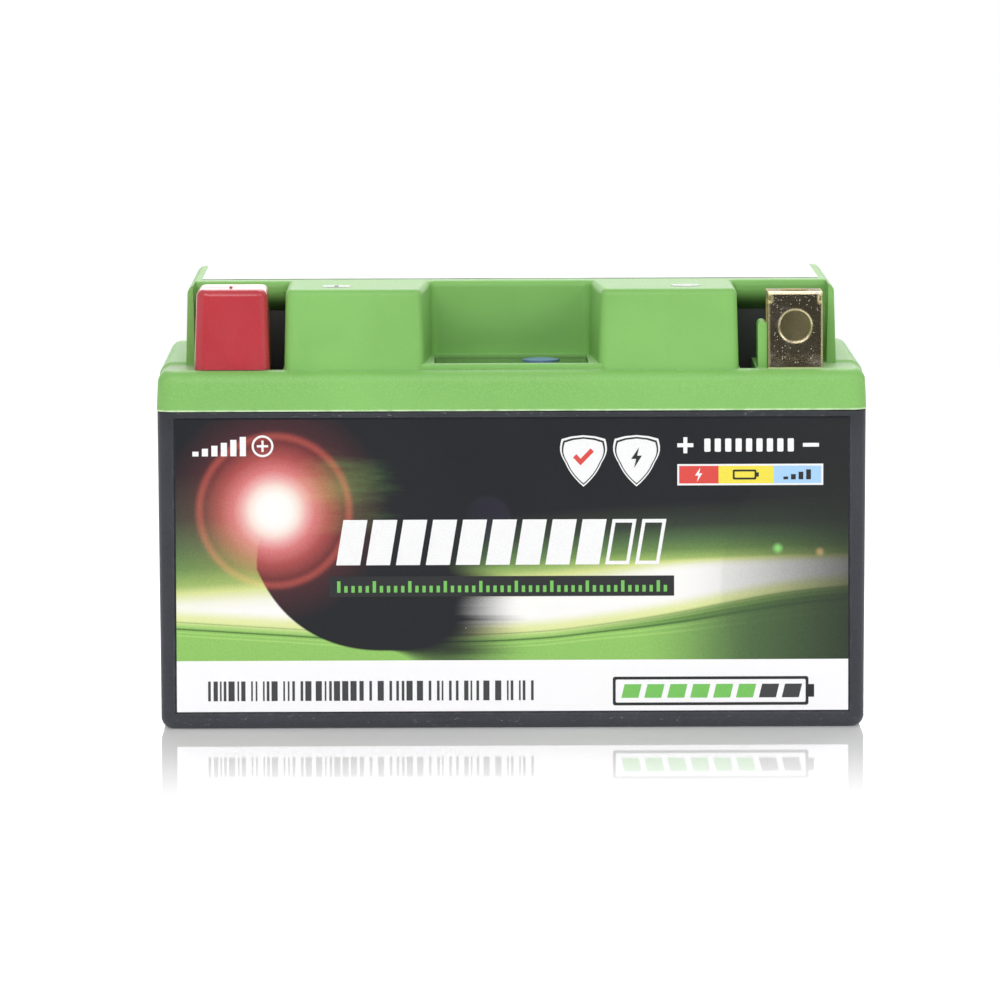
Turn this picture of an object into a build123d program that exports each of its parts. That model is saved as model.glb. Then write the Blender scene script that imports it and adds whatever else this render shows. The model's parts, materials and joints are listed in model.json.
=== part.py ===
from build123d import *
import os
from math import radians, tan

os.makedirs("parts", exist_ok=True)

# A 12 V lithium motorcycle battery in the common 150 x 87 x 93 mm case.
# Millimetres. The origin is at the centre of the base, +Z is up and the labelled front faces -Y.
# The positive terminal, under its red cap, is at -X and the negative terminal is at +X.

# ---- driving dimensions -------------------------------------------------------------------------
LENGTH = 150.0  # over the lid's skirt, along X
WIDTH = 87.0  # over the lid's skirt, along Y
HEIGHT = 93.0  # to the flat top
CASE_TOP = 67.2  # the case's rim
SKIRT_FOOT = 67.4  # the lid's lower edge, above a thin bead
FRONT_DECK = 76.0  # the lid's lower level in front of the deck step
REAR_DECK = 76.55  # the lid's lower level behind the deck step
DECK_STEP_Y = -25.0
DECK_RAMP = 1.0  # length of the slope between the two levels, along Y
DECK_UNDER = 74.0  # underside of the deck
ROOF_UNDER = 91.0  # underside of the raised block's roof
WALL = 2.2

CASE_BASE_X = 148.8
CASE_TOP_X = 149.7
CASE_Y = 86.8
CASE_CORNER = 3.4

BLOCK_HALF = 69.25  # raised block's half length at its foot
BLOCK_BACK = 42.6
BOSS_FRONT = -41.4
BOSS_OUT = 48.05  # outer side of each front boss, at its foot
BOSS_IN = 18.5  # inner side of each front boss, at the front
RECESS_HALF = 16.7  # half width of the centre recess, at its back
POCKET_BACK = -12.3  # back wall of the recess and of the terminal bays
CHEEK_IN = 67.15  # inner face of the cheek beside each terminal bay
DRAFT = 1.4  # degrees, on the raised block

TERMINAL_X = 60.0
TERMINAL_W = 11.5
TERMINAL_FRONT = -39.0
TERMINAL_BACK = -26.0
TERMINAL_TOP = 92.0
PLATE = 2.0  # thickness of the terminal strap
HOLE_Z = 84.8
BOLT_R = 3.2  # clearance hole for an M6 bolt
LEG_FIT = 0.1

WINDOW_HALF = 16.3
WINDOW_Y = (-38.6, -14.2)
FRAME_TOP = 77.15  # rim round the indicator window
WINDOW_TOP = 76.6
WINDOW_SEAT = 75.5
BUTTON_X = 6.4
BUTTON_Y = -23.0
BUTTON_R = 4.0
PRESS = 0.5  # travel of the test button

CELL = (118.0, 10.0, 52.0)
CELL_PITCH = 10.8
CELL_FOOT = 4.0
CELL_TOP = CELL_FOOT + CELL[2]
PAD_X = 46.0  # terminal pads on each cell
PAD_TOP = CELL_TOP + 2.0
BUS_T = 1.2
CELL_YS = [CELL_PITCH * (n - 1.5) for n in range(4)]
SCREW_R = 1.98  # M4 shank, a hair inside its hole
RISER_TOP = 68.0


# ---- helpers ------------------------------------------------------------------------------------
def bar(x, y, z, corner=0.0):
    """A block between two x, two y and two z values, its upright edges rounded by corner."""
    middle = Pos((x[0] + x[1]) / 2, (y[0] + y[1]) / 2, (z[0] + z[1]) / 2)
    solid = middle * Box(x[1] - x[0], y[1] - y[0], z[1] - z[0])
    return fillet(solid.edges().filter_by(Axis.Z), corner) if corner else solid


def rod(x, y, z, radius):
    """An upright round bar between two z values."""
    return Pos(x, y, (z[0] + z[1]) / 2) * Cylinder(radius, z[1] - z[0])


def both(x, y):
    """Two x values and their mirror images, as plan positions."""
    return [(side * x, y) for side in (-1, 1)]


def mirrored(shape):
    return mirror(shape, about=Plane.YZ)


def rounded_prism(size_low, size_high, corner, z):
    """A loft between two rounded rectangles on the vertical axis."""
    low = Plane.XY.offset(z[0]) * RectangleRounded(size_low[0], size_low[1], corner)
    high = Plane.XY.offset(z[1]) * RectangleRounded(size_high[0], size_high[1], corner)
    return loft([low, high])


def top_edges(solid, height, test):
    """The edges that lie flat at a height and pass a test on their middle point."""
    flat = [e for e in solid.edges() if abs(e.bounding_box().min.Z - height) < 0.01]
    flat = [e for e in flat if abs(e.bounding_box().max.Z - height) < 0.01]
    return [e for e in flat if test(e.center())]


def tube(points, radii, radius):
    """A round wire along straight runs joined by tangent arcs."""
    path = FilletPolyline(*points, radius=radii)
    return sweep(Plane(origin=path @ 0, z_dir=path % 0) * Circle(radius), path=path)


def save(shape, node):
    export_step(shape, "parts/" + node + ".step")


# ---- lower case ---------------------------------------------------------------------------------
LABEL_X = 71.0
LABEL_Z = (3.7, 65.7)
PANEL_DEPTH = 0.4


def lower_case():
    outer = rounded_prism((CASE_BASE_X, CASE_Y), (CASE_TOP_X, CASE_Y), CASE_CORNER, (0, CASE_TOP))
    outer = fillet(top_edges(outer, 0, lambda c: True), 2.4)
    inner = (CASE_BASE_X - 2 * WALL, CASE_Y - 2 * WALL)
    inner_top = (CASE_TOP_X - 2 * WALL, CASE_Y - 2 * WALL)
    case = outer - rounded_prism(inner, inner_top, 1.6, (WALL, CASE_TOP + 0.01))
    # Shallow panels: the front one takes the label, the others are plain.
    margin = 0.35
    panel_z = (LABEL_Z[0] - margin, LABEL_Z[1] + margin)
    for side in (-1, 1):
        face = side * CASE_Y / 2
        case -= Pos(0, face, sum(panel_z) / 2) * Box(
            2 * (LABEL_X + margin), 2 * PANEL_DEPTH, panel_z[1] - panel_z[0]
        )
        end = Pos(side * (CASE_TOP_X / 2 + 0.1), 0, 34) * Box(1.2, 74, 56)
        case -= fillet(end.edges().filter_by(Axis.X), 2)
    return case


def front_label():
    back = -CASE_Y / 2 + PANEL_DEPTH
    return bar((-LABEL_X, LABEL_X), (back - 0.32, back), LABEL_Z)


# ---- lid ----------------------------------------------------------------------------------------
TONGUE = (CASE_TOP_X - 2 * WALL - 0.2, CASE_Y - 2 * WALL - 0.2)
TONGUE_IN = (TONGUE[0] - 2.8, TONGUE[1] - 2.8)
SKIRT_LEAN = 0.7 / (FRONT_DECK - SKIRT_FOOT)  # what the skirt loses in length per height
SHOULDER_R = 2.6
MARK_X = 37.0
MARK_Y = -31.0
MARK_R = 3.2
BAY_DOOR = (48.3, 65.2)  # opening in each bay's back wall, along X
BAY_DOOR_TOP = 85.6
LIP_R = 5.0
BAY_SLOT = (48.3, 51.7)  # slot in the bay's floor beside the boss, open down to the gasket
TAB = (52.1, 54.1)  # upright tab beside each terminal, along X
TAB_TOP = 85.8


def skirt(deck):
    """The lid's skirt up to one deck level, with its rounded shoulder."""
    loss = SKIRT_LEAN * (deck - SKIRT_FOOT)
    solid = rounded_prism((LENGTH, WIDTH), (LENGTH - loss, WIDTH - loss), 3.8, (SKIRT_FOOT, deck))
    return fillet(top_edges(solid, deck, lambda c: True), SHOULDER_R)


def rear_zone():
    """Space behind the deck step: its front is a slope from one deck level to the other."""
    low, high = 60, 80
    slope = (REAR_DECK - FRONT_DECK) / DECK_RAMP
    start = DECK_STEP_Y - SHOULDER_R / slope
    ramp = [(start, low), (start, FRONT_DECK - SHOULDER_R), (DECK_STEP_Y + DECK_RAMP, REAR_DECK)]
    side = Polyline(*ramp, (DECK_STEP_Y + DECK_RAMP, high), (60, high), (60, low), close=True)
    return extrude(make_face(Plane.YZ * side), 90, both=True)


def bay_plan():
    """Plan of one terminal bay: open to the front and side, with a cheek beside its back half."""
    far = 90
    outline = [
        (BOSS_OUT, -far), (far, -far), (far, DECK_STEP_Y), (CHEEK_IN, DECK_STEP_Y),
        (CHEEK_IN, POCKET_BACK), (BOSS_OUT, POCKET_BACK),
    ]
    plan = make_face(Polyline(*outline, close=True))
    inner = plan.vertices().filter_by(lambda v: v.X < BOSS_OUT + 1 and v.Y > -60)
    return fillet(inner, 1.0)


def recess_plan():
    """Plan of the centre recess, a little narrower at its back."""
    slope = (BOSS_IN - RECESS_HALF) / (POCKET_BACK - BOSS_FRONT)
    front = BOSS_IN + slope * 20
    y = BOSS_FRONT - 20
    right = [(front, y), (RECESS_HALF, POCKET_BACK)]
    left = [(-RECESS_HALF, POCKET_BACK), (-front, y)]
    plan = make_face(Polyline(*right, *left, close=True))
    return fillet(plan.vertices().filter_by(lambda v: v.Y > -20), 1.4)


def raised_block():
    """The raised block with its two front bosses, drafted, before it is hollowed."""
    foot = DECK_UNDER
    rise = HEIGHT - foot
    depth = BLOCK_BACK - BOSS_FRONT
    centre = (BLOCK_BACK + BOSS_FRONT) / 2
    plan = Plane.XY.offset(foot) * Pos(0, centre) * Rectangle(2 * BLOCK_HALF, depth)
    block = extrude(plan, rise, taper=DRAFT)
    block = fillet(top_edges(block, HEIGHT, lambda c: abs(c.X) > 60), 1.9)
    block = fillet([e for e in block.edges() if e.center().Y > 40 and e.center().Z > foot + 1], 1.5)
    base = Plane.XY.offset(foot)
    bay = extrude(base * bay_plan(), rise + 1, taper=-DRAFT)
    recess = extrude(base * recess_plan(), rise + 1, taper=-DRAFT)
    block = block - bay - mirrored(bay) - recess
    upright = [e for e in block.edges() if e.center().Y < BOSS_FRONT + 1.5 and 76 < e.center().Z < 92]
    block = fillet(upright, 2.0)
    rim = top_edges(block, HEIGHT, lambda c: c.Y < 0 and abs(c.X) < CHEEK_IN + 1.5)
    return fillet(rim, 1.4)


def bay_doorway():
    """Opening in the back wall of a bay, its upper lip rounded towards the front."""
    back = POCKET_BACK + 6
    front = POCKET_BACK - 1
    lip_z = BAY_DOOR_TOP + LIP_R
    lip = POCKET_BACK + tan(radians(DRAFT)) * (lip_z - DECK_UNDER)
    under = (lip + LIP_R, BAY_DOOR_TOP)
    corners = [(back, BAY_DOOR_TOP), (back, FRONT_DECK), (front, FRONT_DECK), (front, lip_z)]
    side = Polyline(under, *corners, (lip, lip_z))
    curve = TangentArc((lip, lip_z), under, tangent=(0, -1))
    face = make_face(Plane.YZ * (side + curve))
    return Pos(BAY_DOOR[0], 0, 0) * extrude(face, BAY_DOOR[1] - BAY_DOOR[0], dir=(1, 0, 0))


def terminal_slots(grow):
    """Space that the two legs of a terminal take through a plate, grown by a fit."""
    half = TERMINAL_W / 2 + grow
    x = (TERMINAL_X - half, TERMINAL_X + half)
    front = bar(x, (TERMINAL_FRONT - grow, TERMINAL_FRONT + PLATE + grow), (60, 80))
    rear = bar(x, (TERMINAL_BACK - PLATE - grow, TERMINAL_BACK + grow), (60, 80))
    return front + rear


def lid():
    behind = rear_zone()
    front = skirt(FRONT_DECK) - behind
    rear = skirt(REAR_DECK) & behind
    # The bays' floors are level with the front deck.
    floor_x = (BOSS_OUT - 4, CHEEK_IN + 1.2)
    floor = bar(floor_x, (DECK_STEP_Y - 1, POCKET_BACK + 1), (FRONT_DECK, REAR_DECK + 1))
    shell = front + (rear - floor - mirrored(floor)) + raised_block()
    # A low frame round the indicator window fills the foot of the centre recess.
    frame = bar((-BOSS_IN - 1, BOSS_IN + 1), (BOSS_FRONT + 0.6, POCKET_BACK + 1), (DECK_UNDER, FRAME_TOP))
    frame = fillet(top_edges(frame, FRAME_TOP, lambda c: c.Y < -40), 0.4)
    shell += frame
    shell += rounded_prism(TONGUE, TONGUE, 1.5, (SKIRT_FOOT - 3, SKIRT_FOOT + 0.5))
    # Hollow: one cavity under the deck, one under the raised block and one in each boss.
    shell -= rounded_prism(TONGUE_IN, TONGUE_IN, 1.2, (SKIRT_FOOT - 4, DECK_UNDER))
    shell -= bar((-66.4, 66.4), (POCKET_BACK + 2.4, BLOCK_BACK - 2.6), (DECK_UNDER - 1, ROOF_UNDER), 0.5)
    for side in (-1, 1):
        xs = sorted((side * (BOSS_IN + 2.3), side * (BOSS_OUT - 2.7)))
        shell -= bar(xs, (BOSS_FRONT + 2.5, POCKET_BACK + 4), (DECK_UNDER - 1, ROOF_UNDER), 1.0)
    # Cheek and tab beside each terminal: the tab keeps the nut from sliding inwards.
    tab = bar(TAB, (-38.0, -29.5), (DECK_UNDER, TAB_TOP))
    tab = fillet([e for e in tab.edges().filter_by(Axis.Y) if e.center().Z > 80], 0.9)
    for piece in (tab, mirrored(tab)):
        shell += piece
    slots = terminal_slots(LEG_FIT)
    door = bay_doorway()
    slot = bar(BAY_SLOT, (-39.6, POCKET_BACK + 2.5), (DECK_UNDER - 0.5, REAR_DECK + 1))
    for cut in (slots, mirrored(slots), door, mirrored(door), slot, mirrored(slot)):
        shell -= cut
    shell -= bar((-WINDOW_HALF, WINDOW_HALF), WINDOW_Y, (WINDOW_SEAT, 80), 0.8)
    lower = (WINDOW_Y[0] + 1.5, WINDOW_Y[1] - 1.5)
    shell -= bar((1.5 - WINDOW_HALF, WINDOW_HALF - 1.5), lower, (70, 80), 0.8)
    for x, y in both(MARK_X, MARK_Y):
        shell -= rod(x, y, (HEIGHT - 0.2, HEIGHT + 1), MARK_R + 0.05)
    for x, y in TRAY_SCREWS:
        shell -= rod(x, y, (DECK_UNDER - 0.5, DECK_UNDER + 1.6), 1.0)
    return shell


def lid_bead():
    """Thin joint bead between the case's rim and the lid's skirt."""
    z = (CASE_TOP, SKIRT_FOOT)
    ring = rounded_prism((149.0, 86.1), (149.0, 86.1), 3.2, z)
    hole = (CASE_TOP_X - 2 * WALL, CASE_Y - 2 * WALL)
    return ring - rounded_prism(hole, hole, 1.6, (z[0] - 1, z[1] + 1))


def top_label():
    return bar((-66.2, 66.2), (-7.0, 40.6), (HEIGHT, HEIGHT + 0.12), 1.0)


def polarity_marks():
    """White discs let into the bosses, with a plus and a minus cut through them."""
    disc = rod(0, 0, (HEIGHT - 0.2, HEIGHT + 0.08), MARK_R)
    stroke = (-2.1, 2.1)
    thin = (-0.45, 0.45)
    z = (HEIGHT - 1, HEIGHT + 1)
    minus = disc - bar(stroke, thin, z)
    plus = minus - bar(thin, stroke, z)
    return Pos(-MARK_X, MARK_Y, 0) * plus, Pos(MARK_X, MARK_Y, 0) * minus


# ---- terminals ----------------------------------------------------------------------------------
FOOT_TOP = RISER_TOP + PLATE
FOOT_BACK = -16.5
RIVET_Y = -21.0
RIVET_R = 2.0
CARRIER = (71.2, 73.4)


def terminal():
    """Negative terminal: a folded brass strap, an upside-down U whose rear leg ends in a foot."""
    outer_bend = 0.4
    x0 = TERMINAL_X - TERMINAL_W / 2
    front, back = TERMINAL_FRONT, TERMINAL_BACK
    solid = bar((0, TERMINAL_W), (front, back), (FOOT_TOP, TERMINAL_TOP))
    solid = fillet([e for e in solid.edges().filter_by(Axis.X) if e.center().Z > 80], outer_bend)
    hollow = bar((-1, 20), (front + PLATE, back - PLATE), (60, TERMINAL_TOP - PLATE))
    hollow = fillet([e for e in hollow.edges().filter_by(Axis.X) if e.center().Z > 80], 0.5)
    strap = solid - hollow - bar((-1, 20), (front - 1, front + PLATE + 1), (60, 71.6))
    foot = bar((0, TERMINAL_W), (back - PLATE, FOOT_BACK), (RISER_TOP, FOOT_TOP))
    foot = fillet([e for e in foot.edges().filter_by(Axis.Z) if e.center().Y > back], 1.5)
    strap += foot
    strap -= rod(TERMINAL_W / 2, RIVET_Y, (60, 75), RIVET_R)
    # Relief notches at the ends of the front bend.
    for edge in (0, TERMINAL_W):
        strap -= Pos(edge, front, 90.6) * Box(1.6, 3.0, 1.5)
    middle = TERMINAL_W / 2
    strap -= Pos(middle, front, HOLE_Z) * Rot(90, 0, 0) * Cylinder(BOLT_R, 8)
    lead = Pos(middle, front + 0.15, HOLE_Z) * Rot(90, 0, 0)
    strap -= lead * Cone(BOLT_R, BOLT_R + 0.3, 0.3)
    top_y = (front + back) / 2
    strap -= rod(middle, top_y, (85, 95), BOLT_R)
    return Pos(x0, 0, 0) * strap


def terminal_carrier():
    """Black carrier clamped under the bay's floor, with an upright wall behind the bay's opening."""
    base = bar((47.2, 67.0), (-39.6, -7.9), CARRIER, 1.0)
    wall = bar((47.8, 66.0), (POCKET_BACK + 2.5, POCKET_BACK + 4.4), (CARRIER[0], 90.6))
    return base + wall - terminal_slots(0.05)


def terminal_gasket():
    """Rubber gasket between the carrier and the underside of the deck."""
    gasket = bar((47.4, 66.4), (-39.5, POCKET_BACK + 1.5), (CARRIER[1], DECK_UNDER), 1.0)
    return gasket - terminal_slots(0.05)


CAP_DRAFT = 2.0  # degrees


def terminal_cap():
    """Red cap over the positive terminal: drafted, hollow from below, with a gate nub on top."""
    foot = ((-67.0, -51.0), (-41.3, -20.4))
    width = foot[0][1] - foot[0][0]
    depth = foot[1][1] - foot[1][0]
    middle = Pos(sum(foot[0]) / 2, sum(foot[1]) / 2)
    base = FRONT_DECK + 0.05
    plan = Plane.XY.offset(base) * middle * Rectangle(width, depth)
    shell = extrude(plan, HEIGHT - base, taper=CAP_DRAFT)
    shell = fillet([e for e in shell.edges() if 80 < e.center().Z < 90], 2.4)
    shell = fillet(top_edges(shell, HEIGHT, lambda c: True), 1.5)
    hollow_x = (-65.95, -51.95)
    hollow = bar(hollow_x, (foot[1][0] + 1.2, foot[1][1] - 1.2), (base - 1, HEIGHT - 0.9), 1.6)
    nub = Pos(sum(foot[0]) / 2 - 0.3, -34.0, HEIGHT) * Cone(0.5, 0.25, 0.7)
    return shell - hollow + nub


def terminal_rivets():
    rivet = rod(TERMINAL_X, RIVET_Y, (RISER_TOP - BUS_T, FOOT_TOP), RIVET_R - 0.02)
    rivet += rod(TERMINAL_X, RIVET_Y, (FOOT_TOP, FOOT_TOP + 0.9), 3.4)
    rivet += rod(TERMINAL_X, RIVET_Y, (RISER_TOP - BUS_T - 0.9, RISER_TOP - BUS_T), 3.4)
    return Part() + [rivet, mirrored(rivet)]


# ---- charge indicator ---------------------------------------------------------------------------
LIGHT_XS = (-11.5, -7.0, -2.5)
LIGHT_Y = -23.0
BOARD = (70.2, 71.4)  # indicator board, bottom and top
TRAY = (69.0, DECK_UNDER)
TRAY_SCREWS = [(x, y) for x in (-18.3, 18.3) for y in (-34.5, -18.0)]
SWITCH_TOP = 73.2
PLUNGER_TOP = 73.95
FASCIA = (75.2, 75.45)


def indicator_window():
    half = WINDOW_HALF - 0.1
    plate = bar((-half, half), (WINDOW_Y[0] + 0.1, WINDOW_Y[1] - 0.1), (WINDOW_SEAT, WINDOW_TOP), 0.7)
    plate = chamfer(top_edges(plate, WINDOW_TOP, lambda c: True), 0.15)
    return plate - rod(BUTTON_X, BUTTON_Y, (70, 80), BUTTON_R + 0.1)


def indicator_fascia():
    half = WINDOW_HALF - 1.7
    sheet = bar((-half, half), (WINDOW_Y[0] + 1.7, WINDOW_Y[1] - 1.7), FASCIA, 0.6)
    sheet -= rod(BUTTON_X, BUTTON_Y, (70, 80), BUTTON_R + 0.1)
    for x in LIGHT_XS:
        sheet -= rod(x, LIGHT_Y, (70, 80), 1.6)
    return sheet


def test_button():
    """Round button with a shallow dome, a retaining flange and a short stem."""
    head = rod(BUTTON_X, BUTTON_Y, (75.0, WINDOW_TOP + 0.25), BUTTON_R)
    dome_r = BUTTON_R ** 2 / 0.7
    dome = Pos(BUTTON_X, BUTTON_Y, WINDOW_TOP + 0.6 - dome_r) * Sphere(dome_r)
    head += rod(BUTTON_X, BUTTON_Y, (76, 79), BUTTON_R) & dome
    flange = rod(BUTTON_X, BUTTON_Y, (74.4, 75.1), BUTTON_R + 1.0)
    return head + flange + rod(BUTTON_X, BUTTON_Y, (PLUNGER_TOP + 0.05, 74.5), 1.7)


def indicator_tray():
    outer = bar((-16.0, 16.0), (-38.5, -14.0), TRAY, 1.5)
    tray = outer - bar((-14.9, 14.9), (-37.3, -15.2), (BOARD[0], 80), 1.0)
    for x, y in TRAY_SCREWS:
        side = 1 if x > 0 else -1
        ear_x = sorted((side * 15.5, side * 20.7))
        ear = bar(ear_x, (y - 2.4, y + 2.4), (DECK_UNDER - 1.6, DECK_UNDER), 0.8)
        tray = tray + ear - rod(x, y, (70, 80), 1.1)
    # Slot for the cable at the back.
    return tray - bar((-12.0, -8.0), (-15.6, -13.5), (BOARD[1], 73.8))


def tray_screws():
    screws = []
    for x, y in TRAY_SCREWS:
        shank = rod(x, y, (DECK_UNDER - 1.7, DECK_UNDER + 1.5), 0.98)
        screws.append(shank + rod(x, y, (DECK_UNDER - 2.9, DECK_UNDER - 1.6), 1.9))
    return Part() + screws


def indicator_board():
    return bar((-14.7, 14.7), (-37.1, -15.4), BOARD, 0.8)


def charge_lights():
    lights = []
    for x in LIGHT_XS:
        lens = rod(x, LIGHT_Y, (BOARD[1], 74.4), 1.4)
        lights.append(fillet(top_edges(lens, 74.4, lambda c: True), 1.0))
    return Part() + lights


def tact_switch_body():
    x = (BUTTON_X - 3.0, BUTTON_X + 3.0)
    y = (BUTTON_Y - 3.0, BUTTON_Y + 3.0)
    return bar(x, y, (BOARD[1], SWITCH_TOP), 0.4) - rod(BUTTON_X, BUTTON_Y, (70, 80), 1.35)


def tact_switch_plunger():
    return rod(BUTTON_X, BUTTON_Y, (BOARD[1] + PRESS + 0.1, PLUNGER_TOP), 1.3)


# ---- cells and their packing --------------------------------------------------------------------
def cell(y, bar_screws):
    """Prismatic aluminium cell with two terminal pads, each tapped for an M4 screw."""
    half_x, half_y = CELL[0] / 2, CELL[1] / 2
    can = bar((-half_x, half_x), (y - half_y, y + half_y), (CELL_FOOT, CELL_TOP), 2.0)
    can = fillet(top_edges(can, CELL_FOOT, lambda c: True), 0.8)
    can = chamfer(top_edges(can, CELL_TOP, lambda c: True), 0.4)
    vent = Pos(0, y, CELL_TOP) * SlotOverall(14, 5)
    can -= extrude(vent, -0.4)
    for x in bar_screws:
        can += bar((x - 4.5, x + 4.5), (y - 3.4, y + 3.4), (CELL_TOP, PAD_TOP), 0.6)
        can -= rod(x, y, (PAD_TOP - 5, PAD_TOP + 1), SCREW_R + 0.02)
    return can


def busbar(x, first):
    """Copper strap that joins two neighbouring cells."""
    y0, y1 = CELL_YS[first], CELL_YS[first + 1]
    strap = bar((x - 4.2, x + 4.2), (y0 - 3.9, y1 + 3.9), (PAD_TOP, PAD_TOP + BUS_T), 1.5)
    for y in (y0, y1):
        strap -= rod(x, y, (50, 70), SCREW_R + 0.12)
    return strap


RISER_HALF = 4.0
BUS_TOP = PAD_TOP + BUS_T
REAR_RUN = (24.5, 32.5)  # the negative strap's run behind the cells, along Y
STRAP_Z = (PAD_TOP, BUS_TOP)


def positive_riser():
    """Copper strap from the first cell's positive pad up to the positive terminal's foot."""
    y = CELL_YS[0]
    x_end = -TERMINAL_X
    low = bar((x_end - RISER_HALF, -PAD_X + 4.2), (y - RISER_HALF, y + 4.0), STRAP_Z, 1.0)
    post = bar((x_end - RISER_HALF, x_end + RISER_HALF), (y - BUS_T, y), (PAD_TOP, RISER_TOP))
    head = bar((x_end - RISER_HALF, x_end + RISER_HALF), (RIVET_Y - 4.2, y), (RISER_TOP - BUS_T, RISER_TOP))
    strap = low + post + head
    strap -= rod(-PAD_X, y, (50, 70), SCREW_R + 0.12)
    return strap - rod(x_end, RIVET_Y, (60, 70), RIVET_R)


def negative_riser():
    """Copper strap from the last cell's negative pad, round the back and up to the terminal."""
    y = CELL_YS[3]
    x_end = TERMINAL_X
    start = bar((-PAD_X - 4.2, -PAD_X + 4.2), (y - 3.9, REAR_RUN[1]), STRAP_Z, 1.0)
    rear = bar((-PAD_X - 4.2, x_end + RISER_HALF), REAR_RUN, STRAP_Z, 1.0)
    side = bar((x_end - RISER_HALF, x_end + RISER_HALF), (CELL_YS[0] - BUS_T, REAR_RUN[1]), STRAP_Z, 1.0)
    post_y = (CELL_YS[0] - BUS_T, CELL_YS[0])
    post = bar((x_end - RISER_HALF, x_end + RISER_HALF), post_y, (PAD_TOP, RISER_TOP))
    head_y = (RIVET_Y - 4.2, CELL_YS[0])
    head = bar((x_end - RISER_HALF, x_end + RISER_HALF), head_y, (RISER_TOP - BUS_T, RISER_TOP))
    strap = start + rear + side + post + head
    strap -= rod(-PAD_X, y, (50, 70), SCREW_R + 0.12)
    return strap - rod(x_end, RIVET_Y, (60, 70), RIVET_R)


def riser_sleeve():
    """Insulating sleeve round the negative strap's rear run."""
    x = (-30.0, 44.0)
    y = (REAR_RUN[0] - 0.5, REAR_RUN[1] + 0.5)
    outer = bar(x, y, (PAD_TOP - 0.5, BUS_TOP + 0.5))
    return outer - bar((-40, 50), REAR_RUN, STRAP_Z)


def busbar_screws():
    screws = []
    for side in (-1, 1):
        for y in CELL_YS:
            screw = rod(side * PAD_X, y, (PAD_TOP - 4.5, BUS_TOP), SCREW_R)
            head = rod(side * PAD_X, y, (BUS_TOP, BUS_TOP + 2.4), 3.4)
            head = fillet(top_edges(head, BUS_TOP + 2.4, lambda c: True), 0.7)
            socket = Plane.XY.offset(BUS_TOP + 2.5) * Pos(side * PAD_X, y) * RegularPolygon(1.6, 6)
            screws.append(screw + head - extrude(socket, -1.6))
    return Part() + screws


def cell_bands():
    """Two bands that hold the four cells together."""
    stack_y = 2 * (CELL_YS[3] + CELL[1] / 2)
    inner = (CELL[0] + 0.1, stack_y + 0.1)
    outer = (inner[0] + 0.8, inner[1] + 0.8)
    bands = []
    for z in (14.0, 38.0):
        ring = rounded_prism(outer, outer, 2.4, (z, z + 10))
        bands.append(ring - rounded_prism(inner, inner, 2.0, (z - 1, z + 11)))
    return Part() + bands


STACK_Y = CELL_YS[3] + CELL[1] / 2
STACK_X = CELL[0] / 2
FOAM_TOP = 56.0
FOAM_FOOT = WALL + 0.05


def long_foam(side):
    y = sorted((side * (STACK_Y + 0.6), side * 41.0))
    return bar((-71.8, 71.8), y, (FOAM_FOOT, FOAM_TOP), 1.0)


def end_foam(side):
    x = sorted((side * (STACK_X + 0.6), side * 71.8))
    return bar(x, (-STACK_Y, STACK_Y), (FOAM_FOOT, FOAM_TOP), 1.0)


def floor_pad():
    return bar((-STACK_X, STACK_X), (-STACK_Y, STACK_Y), (WALL, CELL_FOOT), 1.5)


# ---- balance board ------------------------------------------------------------------------------
SHEET = (CELL_TOP + 0.05, CELL_TOP + 0.85)
STANDOFF_TOP = 60.3
PCB_TOP = STANDOFF_TOP + 1.6
PCB_HALF = (36.0, 18.0)
POSTS = [(x, y) for x in (-32.5, 32.5) for y in (-14.5, 14.5)]


def insulator_sheet():
    return bar((-39.0, 39.0), (-20.5, 20.5), SHEET, 2.0)


def board_standoffs():
    return Part() + [rod(x, y, (SHEET[1], STANDOFF_TOP), 2.5) - rod(x, y, (50, 70), 1.25) for x, y in POSTS]


def board_screws():
    screws = []
    for x, y in POSTS:
        head = rod(x, y, (PCB_TOP, PCB_TOP + 1.6), 2.3)
        screws.append(rod(x, y, (STANDOFF_TOP - 3.2, PCB_TOP), 1.2) + head)
    return Part() + screws


def balance_board():
    board = bar((-PCB_HALF[0], PCB_HALF[0]), (-PCB_HALF[1], PCB_HALF[1]), (STANDOFF_TOP, PCB_TOP), 1.0)
    for x, y in POSTS:
        board -= rod(x, y, (50, 70), 1.25)
    return board


def on_board(places, size, corner=0.0):
    """Rectangular components of one kind, standing on the balance board."""
    pieces = []
    for x, y in places:
        xs = (x - size[0] / 2, x + size[0] / 2)
        ys = (y - size[1] / 2, y + size[1] / 2)
        pieces.append(bar(xs, ys, (PCB_TOP, PCB_TOP + size[2]), corner))
    return Part() + pieces


SENSE_Z = 65.0
HEADER_BACK = 17.0
WIRE_R = 0.65


def balance_resistors():
    places = [(4 + 8.0 * column, row) for column in range(3) for row in (-13, -8, -3, 2)]
    return on_board(places, (6.3, 3.2, 0.7))


def balance_mosfets():
    return on_board([(14.5, 10), (22.5, 10), (29.5, 3), (29.5, -6)], (6.5, 6.0, 2.3), 0.3)


def controller_chip():
    return on_board([(-22, 0)], (9.0, 9.0, 1.2), 0.3)


def board_capacitors():
    cans = [rod(x, 11, (PCB_TOP, PCB_TOP + 5.4), 3.1) for x in (-2, 5)]
    return Part() + [fillet(top_edges(can, PCB_TOP + 5.4, lambda c: True), 0.5) for can in cans]


def sense_header():
    return bar((-27.0, -12.0), (10.0, HEADER_BACK), (PCB_TOP, PCB_TOP + 6.0), 0.4)


def indicator_header():
    return bar((-13.5, -6.5), (-9.5, -4.5), (PCB_TOP, PCB_TOP + 4.1), 0.4)


def indicator_socket():
    """Small socket on the indicator board that the cable leaves from."""
    return bar((-12.0, -8.0), (-20.0, -16.2), (BOARD[1], 73.6), 0.3)


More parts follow.
